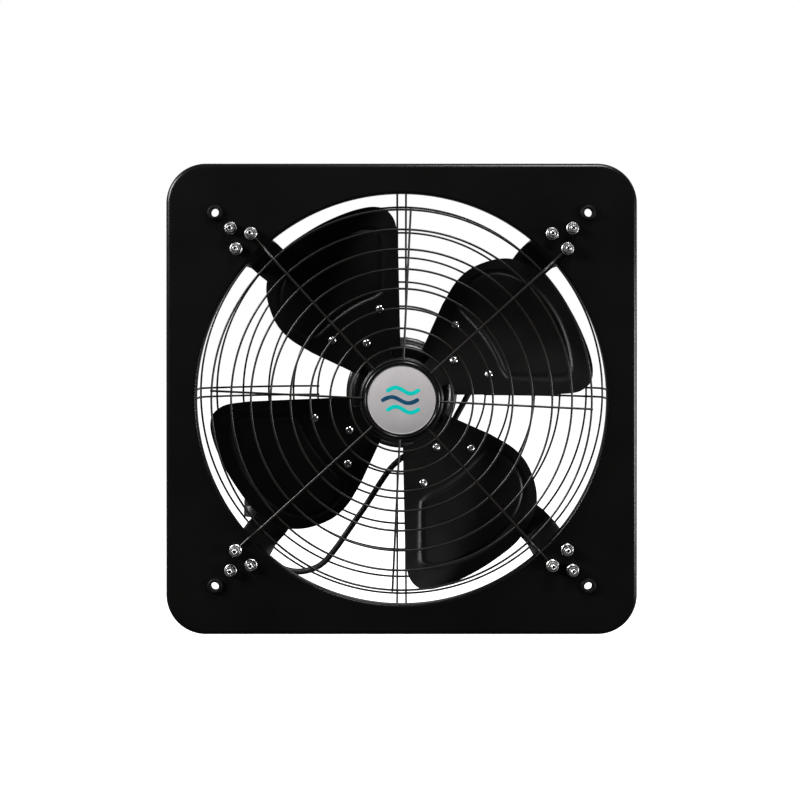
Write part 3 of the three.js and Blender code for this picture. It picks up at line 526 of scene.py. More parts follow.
plateSheet = meshPiece("plateSheet", [plateShape()], ["plateEnamel"],
    stands=("frame_plate",), sharp=30)
for k in range(4):
    cutter = meshPiece(f"holeCutter{k}", [prism([polar(plateSet["hole"], 11.25 * i) for i in range(32)], -5,
        3, atCorner(k) @ shift(plateSet["holeOut"], 0, 0))],
                       ["plateEnamel"])
    hole = plateSheet.modifiers.new("hole", "BOOLEAN")
    hole.object = cutter
    hole.solver = "EXACT"
    evaluated = plateSheet.evaluated_get(bpy.context.evaluated_depsgraph_get())
    holed = bpy.data.meshes.new_from_object(evaluated)
    plateSheet.modifiers.clear()
    plateSheet.data = holed
    bpy.data.objects.remove(cutter)
plateSheet.data.set_sharp_from_angle(angle=math.radians(30))
meshPiece("legSockets", socketShapes(), ["plateEnamel"], bevel=0.6)
print("plate sheet done")


# Low rubber grommets in the corner holes.
grommetSet = {"bore": 4.1, "neck": 6, "base": 7.8, "top": 6.9, "height": 3.4, "flange": 8.6, "seat": 0.3,
    "back": -3.4}
for k in range(4):
    g = grommetSet
    bore, base, flange, back, tall = g["bore"], g["base"], g["flange"], g["back"], g["height"]
    profile = [(bore, back + 0.4), (bore + 0.5, back), (flange - 0.6, back), (flange, back + 0.5),
        (flange, back + 1.2), (flange - 0.4, -1.8), (g["neck"], -1.8),
               (g["neck"], g["seat"]), (base - 0.2, g["seat"]), (base, 0.6), (base, 1.1), (base - 0.35, 1.9),
               (g["top"] + 0.1, tall - 0.7), (g["top"] - 0.5, tall - 0.15),
               (g["top"] - 1.1, tall), (bore + 0.9, tall), (bore + 0.3, tall - 0.2), (bore, tall - 0.8)]
    meshPiece(f"grommet{k + 1}", [spin(profile, 48, atCorner(k) @ shift(plateSet["holeOut"], 0, 0),
        ring=True)], ["softRubber"],
              stands=(f"mount_grommet_{k + 1}",), sharp=50)
print("grommets done")


# Channel arms that carry the motor.
armSet = {"thick": 2, "half": 19, "narrow": 15, "flange": 6, "wall": 209, "depth": 76, "bend": 10,
    "footDepth": 1.8, "footBend": 4,
          "footEnd": 252, "innerEnd": 63}


def armStations():
    a = armSet
    stations = []  # u outwards, depth, outward normal (u, depth), half width, flange height

    def half(u):
        share = min(1, max(0, (u - (a["wall"] - 40)) / 30))
        return a["narrow"] + (a["half"] - a["narrow"]) * share

    for u in (a["innerEnd"], 80, 110, 140, 160, 170, 180, 190):
        stations.append((u, a["depth"], (0, 1), half(u), a["flange"]))
    for i in range(9):
        angle = math.radians(90 - 90 * i / 8)
        out, deep = math.cos(angle), math.sin(angle)
        stations.append((a["wall"] - a["bend"] + a["bend"] * out, a["depth"] - a["bend"] + a["bend"] * deep,
            (out, deep), a["half"], a["flange"]))
    for depth, flange in ((50, 6), (34, 6), (24, 6), (19, 5), (15.5, 3.4), (12.5, 2.01)):
        stations.append((a["wall"], depth, (1, 0), a["half"], flange))
    inner = a["footBend"] + a["thick"]
    for i in range(7):
        angle = math.radians(90 * i / 6)
        stations.append((a["wall"] + inner * (1 - math.cos(angle)),
            a["footDepth"] + inner * (1 - math.sin(angle)),
                         (math.cos(angle), math.sin(angle)), a["half"], 2.01))
    stations.append((a["footEnd"] - 4, a["footDepth"], (0, 1), a["half"], 2.01))
    stations.append((a["footEnd"], a["footDepth"], (0, 1), a["half"] - 4, 2.01))
    return stations


def armShape(k):
    t = armSet["thick"]
    loops = []
    for u, depth, (outU, outDeep), half, flange in armStations():
        section = [(-half, 0), (-half, flange), (-half + t, flange), (-half + t, t), (half - t, t),
            (half - t, flange), (half, flange), (half, 0)]
        loops.append([(u + h * outU, side, -(depth + h * outDeep)) for side, h in section])
    return skin(loops, atCorner(k))


screwSet = {"out": 73, "head": 5, "height": 3.6, "washer": 6.6}
for k in range(4):
    s = screwSet
    arm = [armShape(k)]
    meshPiece(f"arm{k + 1}", arm, ["armEnamel"], stands=(f"motor_arm_{k + 1}",), sharp=38,
        bevel=0.7)
    place = atCorner(k) @ shift(s["out"], 0, -armSet["depth"])
    screw = [spin([(0, 1.3), (s["washer"], 1.3), (s["washer"], 0.2), (0, 0.2)], 32, place),
             prism(hexagon(s["head"], 10 * k), 1.2, 1.2 + s["height"], place)]
    meshPiece(f"earScrew{k + 1}", screw, ["zincPlate"], bevel=0.4)
print("arms done")


# Bolts with flange nuts on the face.
nutSet = {"shank": 3, "corner": 5.75, "flange": 6.25, "tall": 5.6, "tail": 1.6, "pitch": 1.0,
          "places": [(223.5, 10.7), (223.5, -10.7), (241.8, 0)]}


def boltShapes(place, seat, spinBy):
    n = nutSet
    under = -3.8 - 0.3
    top = seat + n["tall"]
    flange = [(3.2, seat), (n["flange"] - 0.3, seat), (n["flange"], seat + 0.35), (n["flange"], seat + 0.8),
        (5.6, seat + 1.5), (3.2, seat + 1.6)]
    hexLow = [(x, y) for x, y in hexagon(n["corner"])]
    face = [(x * 0.86, y * 0.86) for x, y in hexagon(n["corner"])]
    # the hex body takes finish 1, the dark steel that paints shade between flange and collar
    nut = skin([[(x, y, z) for x, y in loop] for loop,
        z in ((hexLow, seat + 0.9), (hexLow, top - 0.7), (face, top))],
               place @ turnAbout("Z", spinBy), mark=1)
    collar = [(3.35, top - 1.2), (4.75, top - 0.05), (4.75, top + 0.35), (4.3, top + 0.55), (3.75, top + 0.5),
        (3.35, top - 0.3)]
    thread = [(0, under)]
    z = under
    while z < top + n["tail"] - 0.6:
        thread += [(n["shank"] - 0.28, z), (n["shank"], z + 0.35), (n["shank"], z + 0.5),
            (n["shank"] - 0.28, z + 0.85)]
        z += n["pitch"]
    thread += [(n["shank"] - 0.3, z), (n["shank"] - 0.8, z + 0.5), (1.7, z + 0.5), (1.45, z + 0.2),
        (1.4, z - 2.2), (0, z - 2.4)]
    hexHead = prism(hexagon(n["corner"] - 0.1), under - 3.6, under, place @ turnAbout("Z", spinBy + 20))
    return [spin(flange, 40, place, ring=True), nut, spin(collar, 40, place, ring=True),
        spin(thread, 28, place),
            spin([(0, under - 4), (4.4, under - 4), (5, under - 3.5), (5, under - 3), (0, under - 3)], 32,
            place), hexHead]


number = 0
for k in range(4):
    for i, (out, side) in enumerate(nutSet["places"]):
        number += 1
        seat = 2.8 if i == 1 else 0.3
        shapes = boltShapes(atCorner(k) @ shift(out, side, 0), seat, 37 * number % 60)
        meshPiece(f"flangeNut{number}", shapes, ["zincPlate", "nutPaintedShade"],
            stands=(f"frame_bolt_{number}",), sharp=32, bevel=0.18)
print("flange nuts:", number)


# Wire guard over the opening.
guardSet = {"wire": 1.1, "ringZ": 6.5, "spokeZ": 8.1,
    "rings": [39.7, 51.4, 71.06, 90.72, 110.38, 130.02, 149.68, 169.34, 189],
            "spoke": 42.26, "short": 87.25, "seatZ": 1.4, "eye": 4.4, "eyeOut": 223.76}


def guardRuns():
    g = guardSet
    runs = [ringRun(radius, g["ringZ"]) for radius in g["rings"]]
    for k in range(4):
        turn = turnAbout("Z", g["spoke"] + 90 * k)
        line = [(39.1, 0, g["spokeZ"]), (110, 0, g["spokeZ"]), (186, 0, g["spokeZ"]),
            (191, 0, g["spokeZ"] - 0.3), (196, 0, 5.9),
                (200.5, 0, 3.1), (204.5, 0, 1.7), (209, 0, g["seatZ"]),
                (g["eyeOut"] - g["eye"] - 3, 0, g["seatZ"])]
        eye = [(g["eyeOut"] + g["eye"] * math.cos(a), g["eye"] * math.sin(a), g["seatZ"])
               for a in (math.radians(180 + 345 * i / 28) for i in range(29))]
        runs.append(([turn @ Vector(p) for p in smoothLine(line, 3) + [Vector(p) for p in eye]], False))
        runs.append(([turnAbout("Z", g["short"] + 90 * k) @ Vector((r, 0, g["spokeZ"])) for r in (39.1, 90,
            140, 190)], False))
    return runs


wirePiece("frontGuardWires", guardRuns(), guardSet["wire"], "wireCoat",
    stands=("front_guard",), sides=4)


# Weld spots where the spokes cross the rings.
def weldShapes(crossings, radius):
    return [spin([(0, -radius), (radius * 0.75, -radius * 0.66), (radius, 0), (radius * 0.75, radius * 0.66),
        (0, radius)], 10, place)
            for place in crossings]


frontWelds = [turnAbout("Z", angle + 90 * k) @ shift(radius, 0,
    7.3) for k in range(4) for angle in (guardSet["spoke"], guardSet["short"])
              for radius in guardSet["rings"]]
meshPiece("frontGuardWelds", weldShapes(frontWelds, 1.15), ["wireCoat"], sharp=180)
print("front guard done")


# Dished wire guard behind.
rearSet = {"wire": 1.1, "inner": 94, "outer": 218, "deep": 115, "shallow": 82,
    "rings": [94, 121, 148, 175, 202, 218], "gap": 9.5}


def rearDish(radius):
    share = (radius - rearSet["inner"]) / (rearSet["outer"] - rearSet["inner"])
    return rearSet["deep"] - (rearSet["deep"] - rearSet["shallow"]) * share * share


def rearRuns():
    r = rearSet
    runs = [ringRun(radius, -rearDish(radius)) for radius in r["rings"]]
    lift = 2 * r["wire"] - 0.6
    line = [(radius, 0, -rearDish(radius) + lift) for radius in range(92, 203, 10)]
    line += [(206, 0, -rearDish(206) + lift), (211, 0, -rearDish(211) + lift - 0.1), (214.6, 0, -81.9),
        (217, 0, -79.2), (217.9, 0, -75), (218, 0, -70), (218, 0, -48), (218, 0, -20), (218, 0, -3)]
    for k in range(4):
        for side in (-1, 1):
            place = turnAbout("Z", 90 * k) @ shift(0, side * r["gap"] / 2, 0)
            runs.append(([place @ p for p in smoothLine(line, 3)], False))
    return runs


wirePiece("rearGuardWires", rearRuns(), rearSet["wire"], "wireCoat",
    stands=("rear_guard",), sides=4)
rearWelds = [turnAbout("Z", 90 * k) @ shift(radius, side * rearSet["gap"] / 2, -rearDish(radius) + 0.8)
             for k in range(4) for side in (-1, 1) for radius in rearSet["rings"][:-1]]
meshPiece("rearGuardWelds", weldShapes(rearWelds, 1.15), ["wireCoat"], sharp=180)
print("rear guard done")


# Badge with a plain airflow sign.
badgeSet = {"radius": 35.3, "bezel": 38.3, "back": 42, "low": 1.9, "face": 8.4, "waveLength": 30,
    "waveHeight": 3, "stroke": 1.9, "rows": (9.5, 0, -9.5)}


def waveShape(rowHeight, slide, length, mark):
    b = badgeSet
    line, steps = [], 40
    for i in range(steps + 1):
        x = -length / 2 + length * i / steps
        line.append(Vector((x + slide, rowHeight + b["waveHeight"] * math.sin(2 * math.pi * i / steps * 1.0),
            0)))
    left, right = [], []
    for i, p in enumerate(line):
        along = (line[min(i + 1, steps)] - line[max(i - 1, 0)]).normalized()
        side = Vector((-along.y, along.x, 0)) * b["stroke"]
        left.append(p + side)
        right.append(p - side)
    first, last = (line[1] - line[0]).normalized(), (line[-1] - line[-2]).normalized()

    def cap(centre, along, start):
        base = math.degrees(math.atan2(along.y, along.x)) + start
        return [centre + Vector((*polar(b["stroke"], base + 180 * i / 10), 0)) for i in range(1, 10)]

    outline = right + cap(line[-1], last, -90) + left[::-1] + cap(line[0], first, 90)
    return prism([(p.x, p.y) for p in outline], b["face"] - 0.05, b["face"] + 0.12, mark=mark)


b = badgeSet
bezel = [(0, b["low"]), (b["back"] - 0.8, b["low"]), (b["back"], b["low"] + 0.8), (b["back"], 4.2),
    (b["back"] - 0.6, 4.9), (b["bezel"] + 0.2, 5.1),
         (b["bezel"], 5.4), (b["bezel"], 7.7), (b["bezel"] - 0.25, 8.3), (b["bezel"] - 0.9, 8.75),
         (b["bezel"] - 1.4, 8.9), (b["bezel"] - 1.8, 8.9),
         (b["radius"] + 0.75, 8.7), (b["radius"] + 0.35, 8.2), (b["radius"] + 0.3, 3.6), (0, 3.6)]
meshPiece("badgeBezel", [spin(bezel, 128)], ["bezelGloss"], stands=("badge_bezel",),
    sharp=50)
disc = [(0, 3.9), (b["radius"], 3.9), (b["radius"], 7.7), (b["radius"] - 0.25, 8.2),
    (b["radius"] - 0.75, b["face"]), (b["radius"] - 1.5, b["face"])]
face = [(b["radius"] - 1.5, b["face"]), (b["radius"] - 1.9, b["face"] - 0.2),
    (b["radius"] - 2.4, b["face"] - 0.2), (b["radius"] - 2.8, b["face"]), (12, b["face"] + 0.01),
    (0, b["face"] + 0.02)]
badge = [spin(disc + [(b["radius"] - 1.5, 4), (0, 4)], 128),
    spin([(0, 4.1), (b["radius"] - 1.5, 4.1)] + face, 128, mark=1),
         waveShape(b["rows"][0], 1.5, b["waveLength"], 2),
         waveShape(b["rows"][1], -1.5, b["waveLength"] + 4, 3),
         waveShape(b["rows"][2], 1.5, b["waveLength"], 2)]
meshPiece("badgeFace", badge, ["badgeRim", "badgeGrey", "tealInk", "navyInk"],
    stands=("badge_disc",), sharp=40)
print("badge done")


# Motor shell in two bells.
motorSet = {"radius": 60, "front": 62, "split": 88, "rear": 132, "ear": 20, "earHalf": 12, "ribs": 32,
    "screws": 4}


def mirrorDepth(profile):
    return [(radius, -depth) for radius, depth in profile]


def frontBellShapes():
    m = motorSet
    d = m["front"]
    body = [(9.3, d), (21, d), (22.5, d + 0.4), (24, d + 2.5), (26, d + 4), (34, d + 4.6), (46, d + 5.4),
        (49, d + 5.8), (52.5, d + 7), (54.2, d + 9.2),
            (55.2, d + 12.5), (56.4, d + 15), (58.6, d + 16.6), (59.6, d + 17.4), (60, d + 18.6),
            (60, m["split"] - 1.2), (59.4, m["split"] - 0.4), (59, m["split"]),
            (52.3, m["split"]), (52.3, d + 11.7), (50, d + 11.7), (49, d + 8.5), (17, d + 8.5), (17, 73.2),
            (13.3, 73.2), (13.3, 64.2), (9.3, 64.2)]
    shapes = [spin(mirrorDepth(body), 96, ring=True)]
    for k in range(4):
        half, out = m["earHalf"], m["radius"] + m["ear"]
        ear = [(57, -half), (out - 7, -half)] + [(out - 7 + 7 * math.sin(a),
            -half + 7 - 7 * math.cos(a)) for a in (0.3, 0.7, 1.1, 1.5)]
        ear += [(x, -y) for x, y in ear[::-1]]
        shapes.append(prism(ear, -83.2, -78.35, atCorner(k)))
        shapes.append(prism([(50, -2), (74, -2), (74, 2), (50, 2)], -87.4, -83, atCorner(k)))
    for i in range(16):  # ribs on the shoulder
        place = turnAbout("Z", 360 * (i + 0.5) / 16)
        shapes.append(prism([(29, -0.9), (47, -0.9), (47, 0.9), (29, 0.9)], -(d + 6), -(d + 3.4), place))
    return shapes


def rearBellShapes():
    m = motorSet
    e = m["rear"]
    body = [(0, e), (17, e), (19.5, e - 0.2), (21, e - 1.4), (24, e - 1.7), (41, e - 3.2), (47, e - 4.8),
        (52, e - 7.6), (55.5, e - 11), (57.6, e - 14.6),
            (58.6, e - 18.5), (59, e - 23), (59, m["split"] + 3), (59.8, m["split"] + 2.6),
            (60, m["split"] + 1.8), (60, m["split"] + 0.7), (59.6, m["split"] + 0.3),
            (52.3, m["split"] + 0.3), (52.3, 112.3), (50, 112.3), (48, e - 12), (38, e - 6), (17, e - 6),
            (17, 119.5), (13.3, 119.5), (13.3, 129.1), (0, 129.1)]
    shapes = [spin(mirrorDepth(body), 96)]
    for i in range(m["ribs"]):  # cooling ribs along the shell
        place = turnAbout("Z", 360 * (i + 0.5) / m["ribs"])
        rib = [(58.2, 92), (59.95, 93.2), (59.95, 107), (59.2, 112.5), (57.6, 118), (54.4, 122.4), (53, 121)]
        shapes.append(skin([[place @ Vector((r, side, -depth)) for r, depth in rib] for side in (-0.9, 0.9)]))
    return shapes


meshPiece("motorFront", frontBellShapes(), ["castMotor"], stands=("motor_front_bell",),
    sharp=36)
meshPiece("motorRear", rearBellShapes(), ["castMotor"], stands=("motor_rear_bell",),
    sharp=36)
for k in range(motorSet["screws"]):
    place = turnAbout("Z", 45 + 90 * k) @ shift(45, 0, -(motorSet["rear"] - 4.4)) @ turnAbout("X", 180)
    pan = [(0, 0), (4.4, 0), (4.4, 0.8), (3.9, 1.9), (2.6, 2.7), (0, 3)]
    # the cross slots are dark bars laid on the head, painted shade in place of a cut recess
    paintedSlotShade = [prism([(-2.6, -0.45), (2.6, -0.45), (2.6, 0.45), (-2.6, 0.45)], 2.75, 3.06,
        place @ turnAbout("Z", a), mark=1) for a in (0, 90)]
    meshPiece(f"bellScrew{k + 1}", [spin(pan, 32, place)] + paintedSlotShade, ["zincPlate", "mouldedBlackAndSlotShade"])
print("motor done")


# Terminal box and cord gland.
boxSet = {"x": 88, "y": 89, "half": 23, "front": 82.5, "back": 100.5, "lid": 102.8, "glandX": 84,
    "glandY": 66, "glandDepth": 91.5}


def boxShapes():
    c = boxSet
    place = shift(c["x"], c["y"], 0)
    outside, inside = roundedBox(c["half"], c["half"], 3), roundedBox(c["half"] - 2, c["half"] - 2, 1.5)
    shell = [[(x, y, -c["back"]) for x, y in inside], [(x, y, -c["back"]) for x, y in outside],
             [(x, y, -c["front"] - 0.6) for x, y in outside],
             [(x * 0.97, y * 0.97, -c["front"]) for x, y in outside]]
    shapes = [skin(shell, place)]
    for side in (-1, 1):  # brackets that sit on the arm
        shapes.append(prism(roundedBox(5, 9, 1.5), -c["front"] - 1, -c["front"] + 1.4,
            place @ turnAbout("Z", 45) @ shift(side * 13, 0, 0)))
    return shapes


def lidShapes():
    c = boxSet
    place = shift(c["x"], c["y"], 0)
    outside = roundedBox(c["half"], c["half"], 3)
    lid = [[(x, y, -c["back"] - 0.3) for x, y in outside], [(x, y, -c["lid"] + 0.7) for x, y in outside],
           [(x * 0.965, y * 0.965, -c["lid"]) for x, y in outside]]
    shapes = [skin(lid, place)]
    for i in range(-3, 4):
        shapes.append(prism(roundedBox(11, 0.6, 0.5), -c["lid"] - 0.0, -c["lid"] + 0.5,
            place @ shift(0, 3.2 * i, 0)))
    for sx, sy in ((1, 1), (-1, 1), (-1, -1), (1, -1)):
        at = place @ shift(18 * sx, 18 * sy, -c["lid"]) @ turnAbout("X", 180)
        shapes.append(spin([(0, -0.6), (2.6, -0.6), (2.6, 0.5), (2, 1), (0, 1.15)], 24, at, mark=1))
    return shapes


def glandShapes():
    c = boxSet
    place = shift(c["glandX"], c["glandY"], -c["glandDepth"]) @ turnAbout("X", 90)
    body = [(0, -3), (4.1, -3), (4.1, 0.4), (0, 0.4)]
    dome = [(0, 6.2), (8.3, 6.2), (8.3, 10.4), (7.9, 11.6), (7.2, 12.8), (6.8, 13.4)]
    for i in range(6):  # ribbed, tapering strain relief
        near = 13.6 + 3.0 * i
        radius = 6.7 - 0.38 * i
        dome += [(radius, near), (radius - 0.1, near + 1.9), (radius - 0.8, near + 2.1),
            (radius - 0.8, near + 2.8)]
    dome += [(4.4, 31.6), (4.1, 32), (0, 32)]
    shapes = [spin(body, 24, place), prism(hexagon(9), 0.4, 5.6, place), spin(dome, 40, place)]
    for i in range(12):
        shapes.append(prism([(7.6, -0.7), (8.9, -0.5), (8.9, 0.5), (7.6, 0.7)], 6.4, 10.4,
            place @ turnAbout("Z", 30 * i)))
    return shapes


meshPiece("terminalBox", boxShapes(), ["mouldedBlackAndSlotShade"], stands=("capacitor_box",),
    bevel=0.3)
meshPiece("terminalLid", lidShapes(), ["mouldedBlackAndSlotShade", "zincPlate"],
    stands=("capacitor_box_lid",))
meshPiece("cordGland", glandShapes(), ["mouldedBlackAndSlotShade"], stands=("cord_gland",), bevel=0.2)
print("terminal box done")


# Pressed blades on a spider.
rotorSet = {"rest": 33.2, "root": 52, "tip": 197.5, "depth": 48, "slope": 0.347, "camber": 0.000826,
    "thick": 1.5, "columns": 110, "rows": 110}
bladeOutline = [(1.3, 40.5), (2.3, 17.5), (4.8, 6), (8, 1.5), (13, 0), (20, 0), (28, 0), (38, 0), (44, 4),
    (50, 10), (53.5, 17.5), (57, 28.5),
                (61.3, 45.5), (64, 64), (65.5, 92.5)]  # angle, and drop inside the tip circle
# A pressed groove runs round each blade's panel, given by radius and angle along its middle.
grooveLine = [(112, 11.2), (120, 10.1), (140, 8.55), (160, 7.5), (169, 7.4), (174, 9.8), (177, 15),
    (179.5, 22), (180.5, 29), (179.5, 37), (176, 44), (169, 50),
              (158, 54.6), (145, 57.3), (130, 58.6), (119.5, 58.2), (112.5, 56), (109.5, 51.5), (108.2, 45),
              (107.6, 38), (107.6, 30), (108, 22), (109, 15)]
grooveSet = {"depth": 1.35, "outside": 3.9, "inside": 3.1, "sink": 0.35}


def bladeHeight(t):
    r = rotorSet
    return -(r["depth"] + r["slope"] * t - r["camber"] * t * t)


def grooveDrop(xs, ys):
    closed = smoothLine([(*polar(radius, angle - rotorSet["rest"]), 0) for radius,
        angle in grooveLine + grooveLine[:1]], 1.5)
    ring = np.array([(p.x, p.y) for p in closed])
    spots = np.stack([xs, ys], axis=1)
    near = np.full(len(spots), 1e9)
    inside = np.zeros(len(spots), dtype=bool)
    for a, c in zip(ring, np.roll(ring, -1, axis=0)):
        along = c - a
        share = np.clip(((spots - a) @ along) / max(along @ along, 1e-9), 0, 1)
        gap = spots - a - share[:, None] * along
        near = np.minimum(near, np.hypot(gap[:, 0], gap[:, 1]))
        crosses = (a[1] > spots[:, 1]) != (c[1] > spots[:, 1])
        rise = c[1] - a[1] if abs(c[1] - a[1]) > 1e-9 else 1e-9
        inside ^= crosses & (spots[:, 0] < a[0] + (c[0] - a[0]) * (spots[:, 1] - a[1]) / rise)
    g = grooveSet
    outSide = g["depth"] * (1 - np.clip(near / g["outside"], 0, 1))
    inSide = g["sink"] + (g["depth"] - g["sink"]) * (1 - np.clip(near / g["inside"], 0, 1))

    def ease(height, low, high):
        share = np.clip((height - low) / (high - low), 0, 1)
        return low + (high - low) * share * share * (3 - 2 * share)

    return np.where(inside, ease(inSide, g["sink"], g["depth"]), ease(outSide, 0, g["depth"]))


def bladeShape():
    r = rotorSet
    rim = smoothLine([(*polar(r["tip"] - drop, angle - r["rest"]), 0) for angle, drop in bladeOutline], 0.5)
    rim = evenly(rim, sum((b - a).length for a, b in zip(rim, rim[1:])) / r["columns"])
    grid = []
    for p in rim:
        reach, angle = p.length, math.degrees(math.atan2(p.y, p.x))
        grid.append([polar(r["root"] + (reach - r["root"]) * i / r["rows"],
            angle) for i in range(r["rows"] + 1)])
    flat = np.array(grid).reshape(-1, 2)
    drop = grooveDrop(flat[:, 0], flat[:, 1])
    heights = np.array([bladeHeight(y) for y in flat[:, 1]]) - drop
    columns, rows = len(grid), r["rows"] + 1
    top = [(x, y, z) for (x, y), z in zip(flat, heights)]
    points = top + [(x, y, z - r["thick"]) for x, y, z in top]
    faces, far = [], len(top)
    for c in range(columns - 1):
        for i in range(rows - 1):
            a, e = c * rows + i, (c + 1) * rows + i
            faces += [(a, a + 1, e + 1, e), (far + a, far + e, far + e + 1, far + a + 1)]
    border = [i for i in range(rows)] + [c * rows + rows - 1 for c in range(1, columns)]
    border += [(columns - 1) * rows + i for i in range(rows - 2, -1,
        -1)] + [c * rows for c in range(columns - 2, 0, -1)]
    faces += [(a, e, far + e, far + a) for a, e in zip(border, border[1:] + border[:1])]
    return points, faces, 0


bladeMesh = None
for k in range(4):
    turn = rotorSet["rest"] + 90 * k
    if bladeMesh is None:
        blade = meshPiece("blade1", [bladeShape()], ["bladeEnamel"], body="rotor",
            stands=("blade_1",), sharp=50, turn=turn)
        bladeMesh = blade.data
    else:
        blade = bpy.data.objects.new(f"blade{k + 1}", bladeMesh)
        bpy.context.collection.objects.link(blade)
        blade.matrix_world = Matrix.Rotation(math.radians(-turn), 4, "Y")
        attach(blade, "rotor")
        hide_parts(f"blade_{k + 1}")
print("blades done")

hubSet = {"boss": 17, "front": 32, "rear": 59, "bore": 6.3, "thick": 3,
          "stations": [(8, 13), (34, 13), (48, 17), (62, 24), (75, 33), (86, 40), (98, 40), (102, 38),
              (104, 34)]}


def hubShapes():
    h, across = hubSet, 16
    boss = [(h["bore"], -h["rear"]), (h["boss"] - 1, -h["rear"]), (h["boss"], -h["rear"] + 1),
        (h["boss"], -h["front"] - 1.2), (h["boss"] - 1.2, -h["front"]),
            (h["bore"] + 0.6, -h["front"]), (h["bore"], -h["front"] - 0.6)]
    shapes = [spin(boss, 64, ring=True)]
    for k in range(4):
        loops = []
        for radius, half in h["stations"]:
            front = [(radius, half * (2 * i / across - 1)) for i in range(across + 1)]
            loops.append([(x, t, bladeHeight(t) - rotorSet["thick"] - 0.3) for x, t in front]
                         + [(x, t, bladeHeight(t) - rotorSet["thick"] - 0.3 - h["thick"]) for x,
                         t in front[::-1]])
        shapes.append(skin(loops, turnAbout("Z", rotorSet["rest"] + 90 * k)))
    return shapes


meshPiece("hubSpider", hubShapes(), ["armEnamel"], body="rotor", stands=("hub",), sharp=40,
    bevel=0.5)

rivetSet = {"places": [(93.2, 14.1), (93.2, 52.2), (65.9, 33.8)], "head": 4.3, "tall": 2.2, "grip": 5.1}
count = 0
for k in range(4):
    for radius, angle in rivetSet["places"]:
        count += 1
        x, y = polar(radius, angle - rotorSet["rest"])
        tilt = math.degrees(math.atan(rotorSet["slope"] - 2 * rotorSet["camber"] * y))
        place = turnAbout("Z", rotorSet["rest"] + 90 * k) @ shift(x, y, bladeHeight(y)) @ turnAbout("X",
            -tilt)
        r = rivetSet
        head = [(0, -2), (2.3, -2), (2.3, 0.1), (r["head"] - 0.3, 0.1), (r["head"], 0.35),
            (r["head"] - 0.1, 0.8), (3.5, 1.5), (2.7, 1.95), (1.9, r["tall"]),
                (1.5, r["tall"] - 0.1), (1.2, r["tall"] - 0.9), (0, r["tall"] - 1.0)]
        tail = [(0, -r["grip"] - 1.5), (2.2, -r["grip"] - 1.5), (3.2, -r["grip"] - 0.9),
            (3.5, -r["grip"] - 0.1), (2.3, -r["grip"]), (2.3, -2.1), (0, -2.1)]
        meshPiece(f"rivet{count}", [spin(head, 36, place), spin(tail, 28, place)], ["brightRivet"],
            body="rotor",
                  stands=(f"blade_rivet_{count}",), sharp=50)
print("rivets:", count)


# Finishes for the frame nodes that stay.
kept = {"stator_core": "stackedSteel", "stator_winding": "windingCopper", "front_bearing": "groundSteel",
    "rear_bearing": "groundSteel",
        "run_capacitor": "mouldedBlackAndSlotShade", "shaft": "groundSteel", "rotor_core": "stackedSteel",
            "hub_nut": "zincPlate"}
for node, look in kept.items():
    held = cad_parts[node]
    if not held.material_slots:
        held.data.materials.append(finishes[look])
    for place in held.material_slots:
        place.material = finishes[look]


# Pale floor, light room, soft lamps.
studio = {"floor": -0.62, "world": 1.0, "ahead": 0.015, "behind": 0.22, "low": -0.2, "high": 0.6,
    "floorGlow": 0.97,
          "lamps": [("keySoft", (-2.6, -1.05, 1.3), 1.1, 120), ("fillSoft", (2.7, -1.0, -0.3), 0.9, 62),
              ("topSoft", (0.7, -1.0, 2.6), 1.0, 62),
                    ("backSoft", (0.2, 1.9, 1.2), 1.8, 6)]}
world = bpy.data.worlds.new("studioWorld")
bpy.context.scene.world = world
world.use_nodes = True
nodes, links = world.node_tree.nodes, world.node_tree.links
nodes.clear()
output = nodes.new("ShaderNodeOutputWorld")
blend = nodes.new("ShaderNodeMixShader")
rayKind = nodes.new("ShaderNodeLightPath")
seen, glow = nodes.new("ShaderNodeBackground"), nodes.new("ShaderNodeBackground")
seen.inputs["Strength"].default_value = studio["world"]
seen.inputs["Color"].default_value = (1, 1, 1, 1)
glow.inputs["Color"].default_value = (1, 0.995, 0.985, 1)
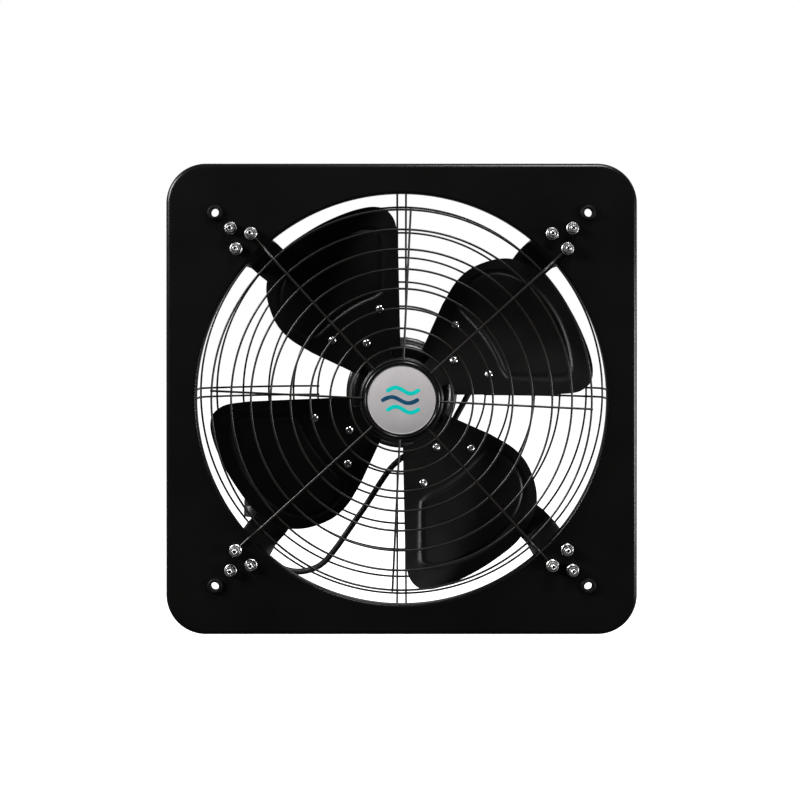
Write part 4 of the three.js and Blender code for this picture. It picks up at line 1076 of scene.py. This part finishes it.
heading = nodes.new("ShaderNodeTexCoord")
parts = nodes.new("ShaderNodeSeparateXYZ")
graded = nodes.new("ShaderNodeMapRange")
graded.inputs["From Min"].default_value = studio["low"]
graded.inputs["From Max"].default_value = studio["high"]
graded.inputs["To Min"].default_value = studio["ahead"]
graded.inputs["To Max"].default_value = studio["behind"]
links.new(heading.outputs["Generated"], parts.inputs["Vector"])
links.new(parts.outputs["Y"], graded.inputs["Value"])
links.new(graded.outputs["Result"], glow.inputs["Strength"])
links.new(rayKind.outputs["Is Camera Ray"], blend.inputs["Fac"])
links.new(glow.outputs["Background"], blend.inputs[1])
links.new(seen.outputs["Background"], blend.inputs[2])
links.new(blend.outputs["Shader"], output.inputs["Surface"])

floorMesh = bpy.data.meshes.new("studioFloor")
floorMesh.from_pydata([(-14, -14, studio["floor"]), (14, -14, studio["floor"]), (14, 14, studio["floor"]),
    (-14, 14, studio["floor"])], [], [(0, 1, 2, 3)])
floor = bpy.data.objects.new("studioFloor", floorMesh)
bpy.context.collection.objects.link(floor)
paleFloor = bpy.data.materials.new("paleFloor")
paleFloor.use_nodes = True
floorShader = paleFloor.node_tree.nodes["Principled BSDF"]
floorShader.inputs["Base Color"].default_value = (0.9, 0.9, 0.9, 1)
floorShader.inputs["Roughness"].default_value = 1
floorShader.inputs["Specular IOR Level"].default_value = 0
floorShader.inputs["Emission Color"].default_value = (1, 1, 1, 1)
floorShader.inputs["Emission Strength"].default_value = studio["floorGlow"]
floorMesh.materials.append(paleFloor)
floor.visible_glossy = False
floor.visible_diffuse = False

for name, spot, size, power in studio["lamps"]:
    lampData = bpy.data.lights.new(name, "AREA")
    lampData.shape = "SQUARE"
    lampData.size = size
    lampData.energy = power
    lamp = bpy.data.objects.new(name, lampData)
    lamp.location = spot
    lamp.rotation_euler = (Vector((0, 0.02, 0)) - Vector(spot)).to_track_quat("-Z", "Y").to_euler()
    bpy.context.collection.objects.link(lamp)
bpy.context.scene.view_settings.view_transform = "Standard"
print("studio done")
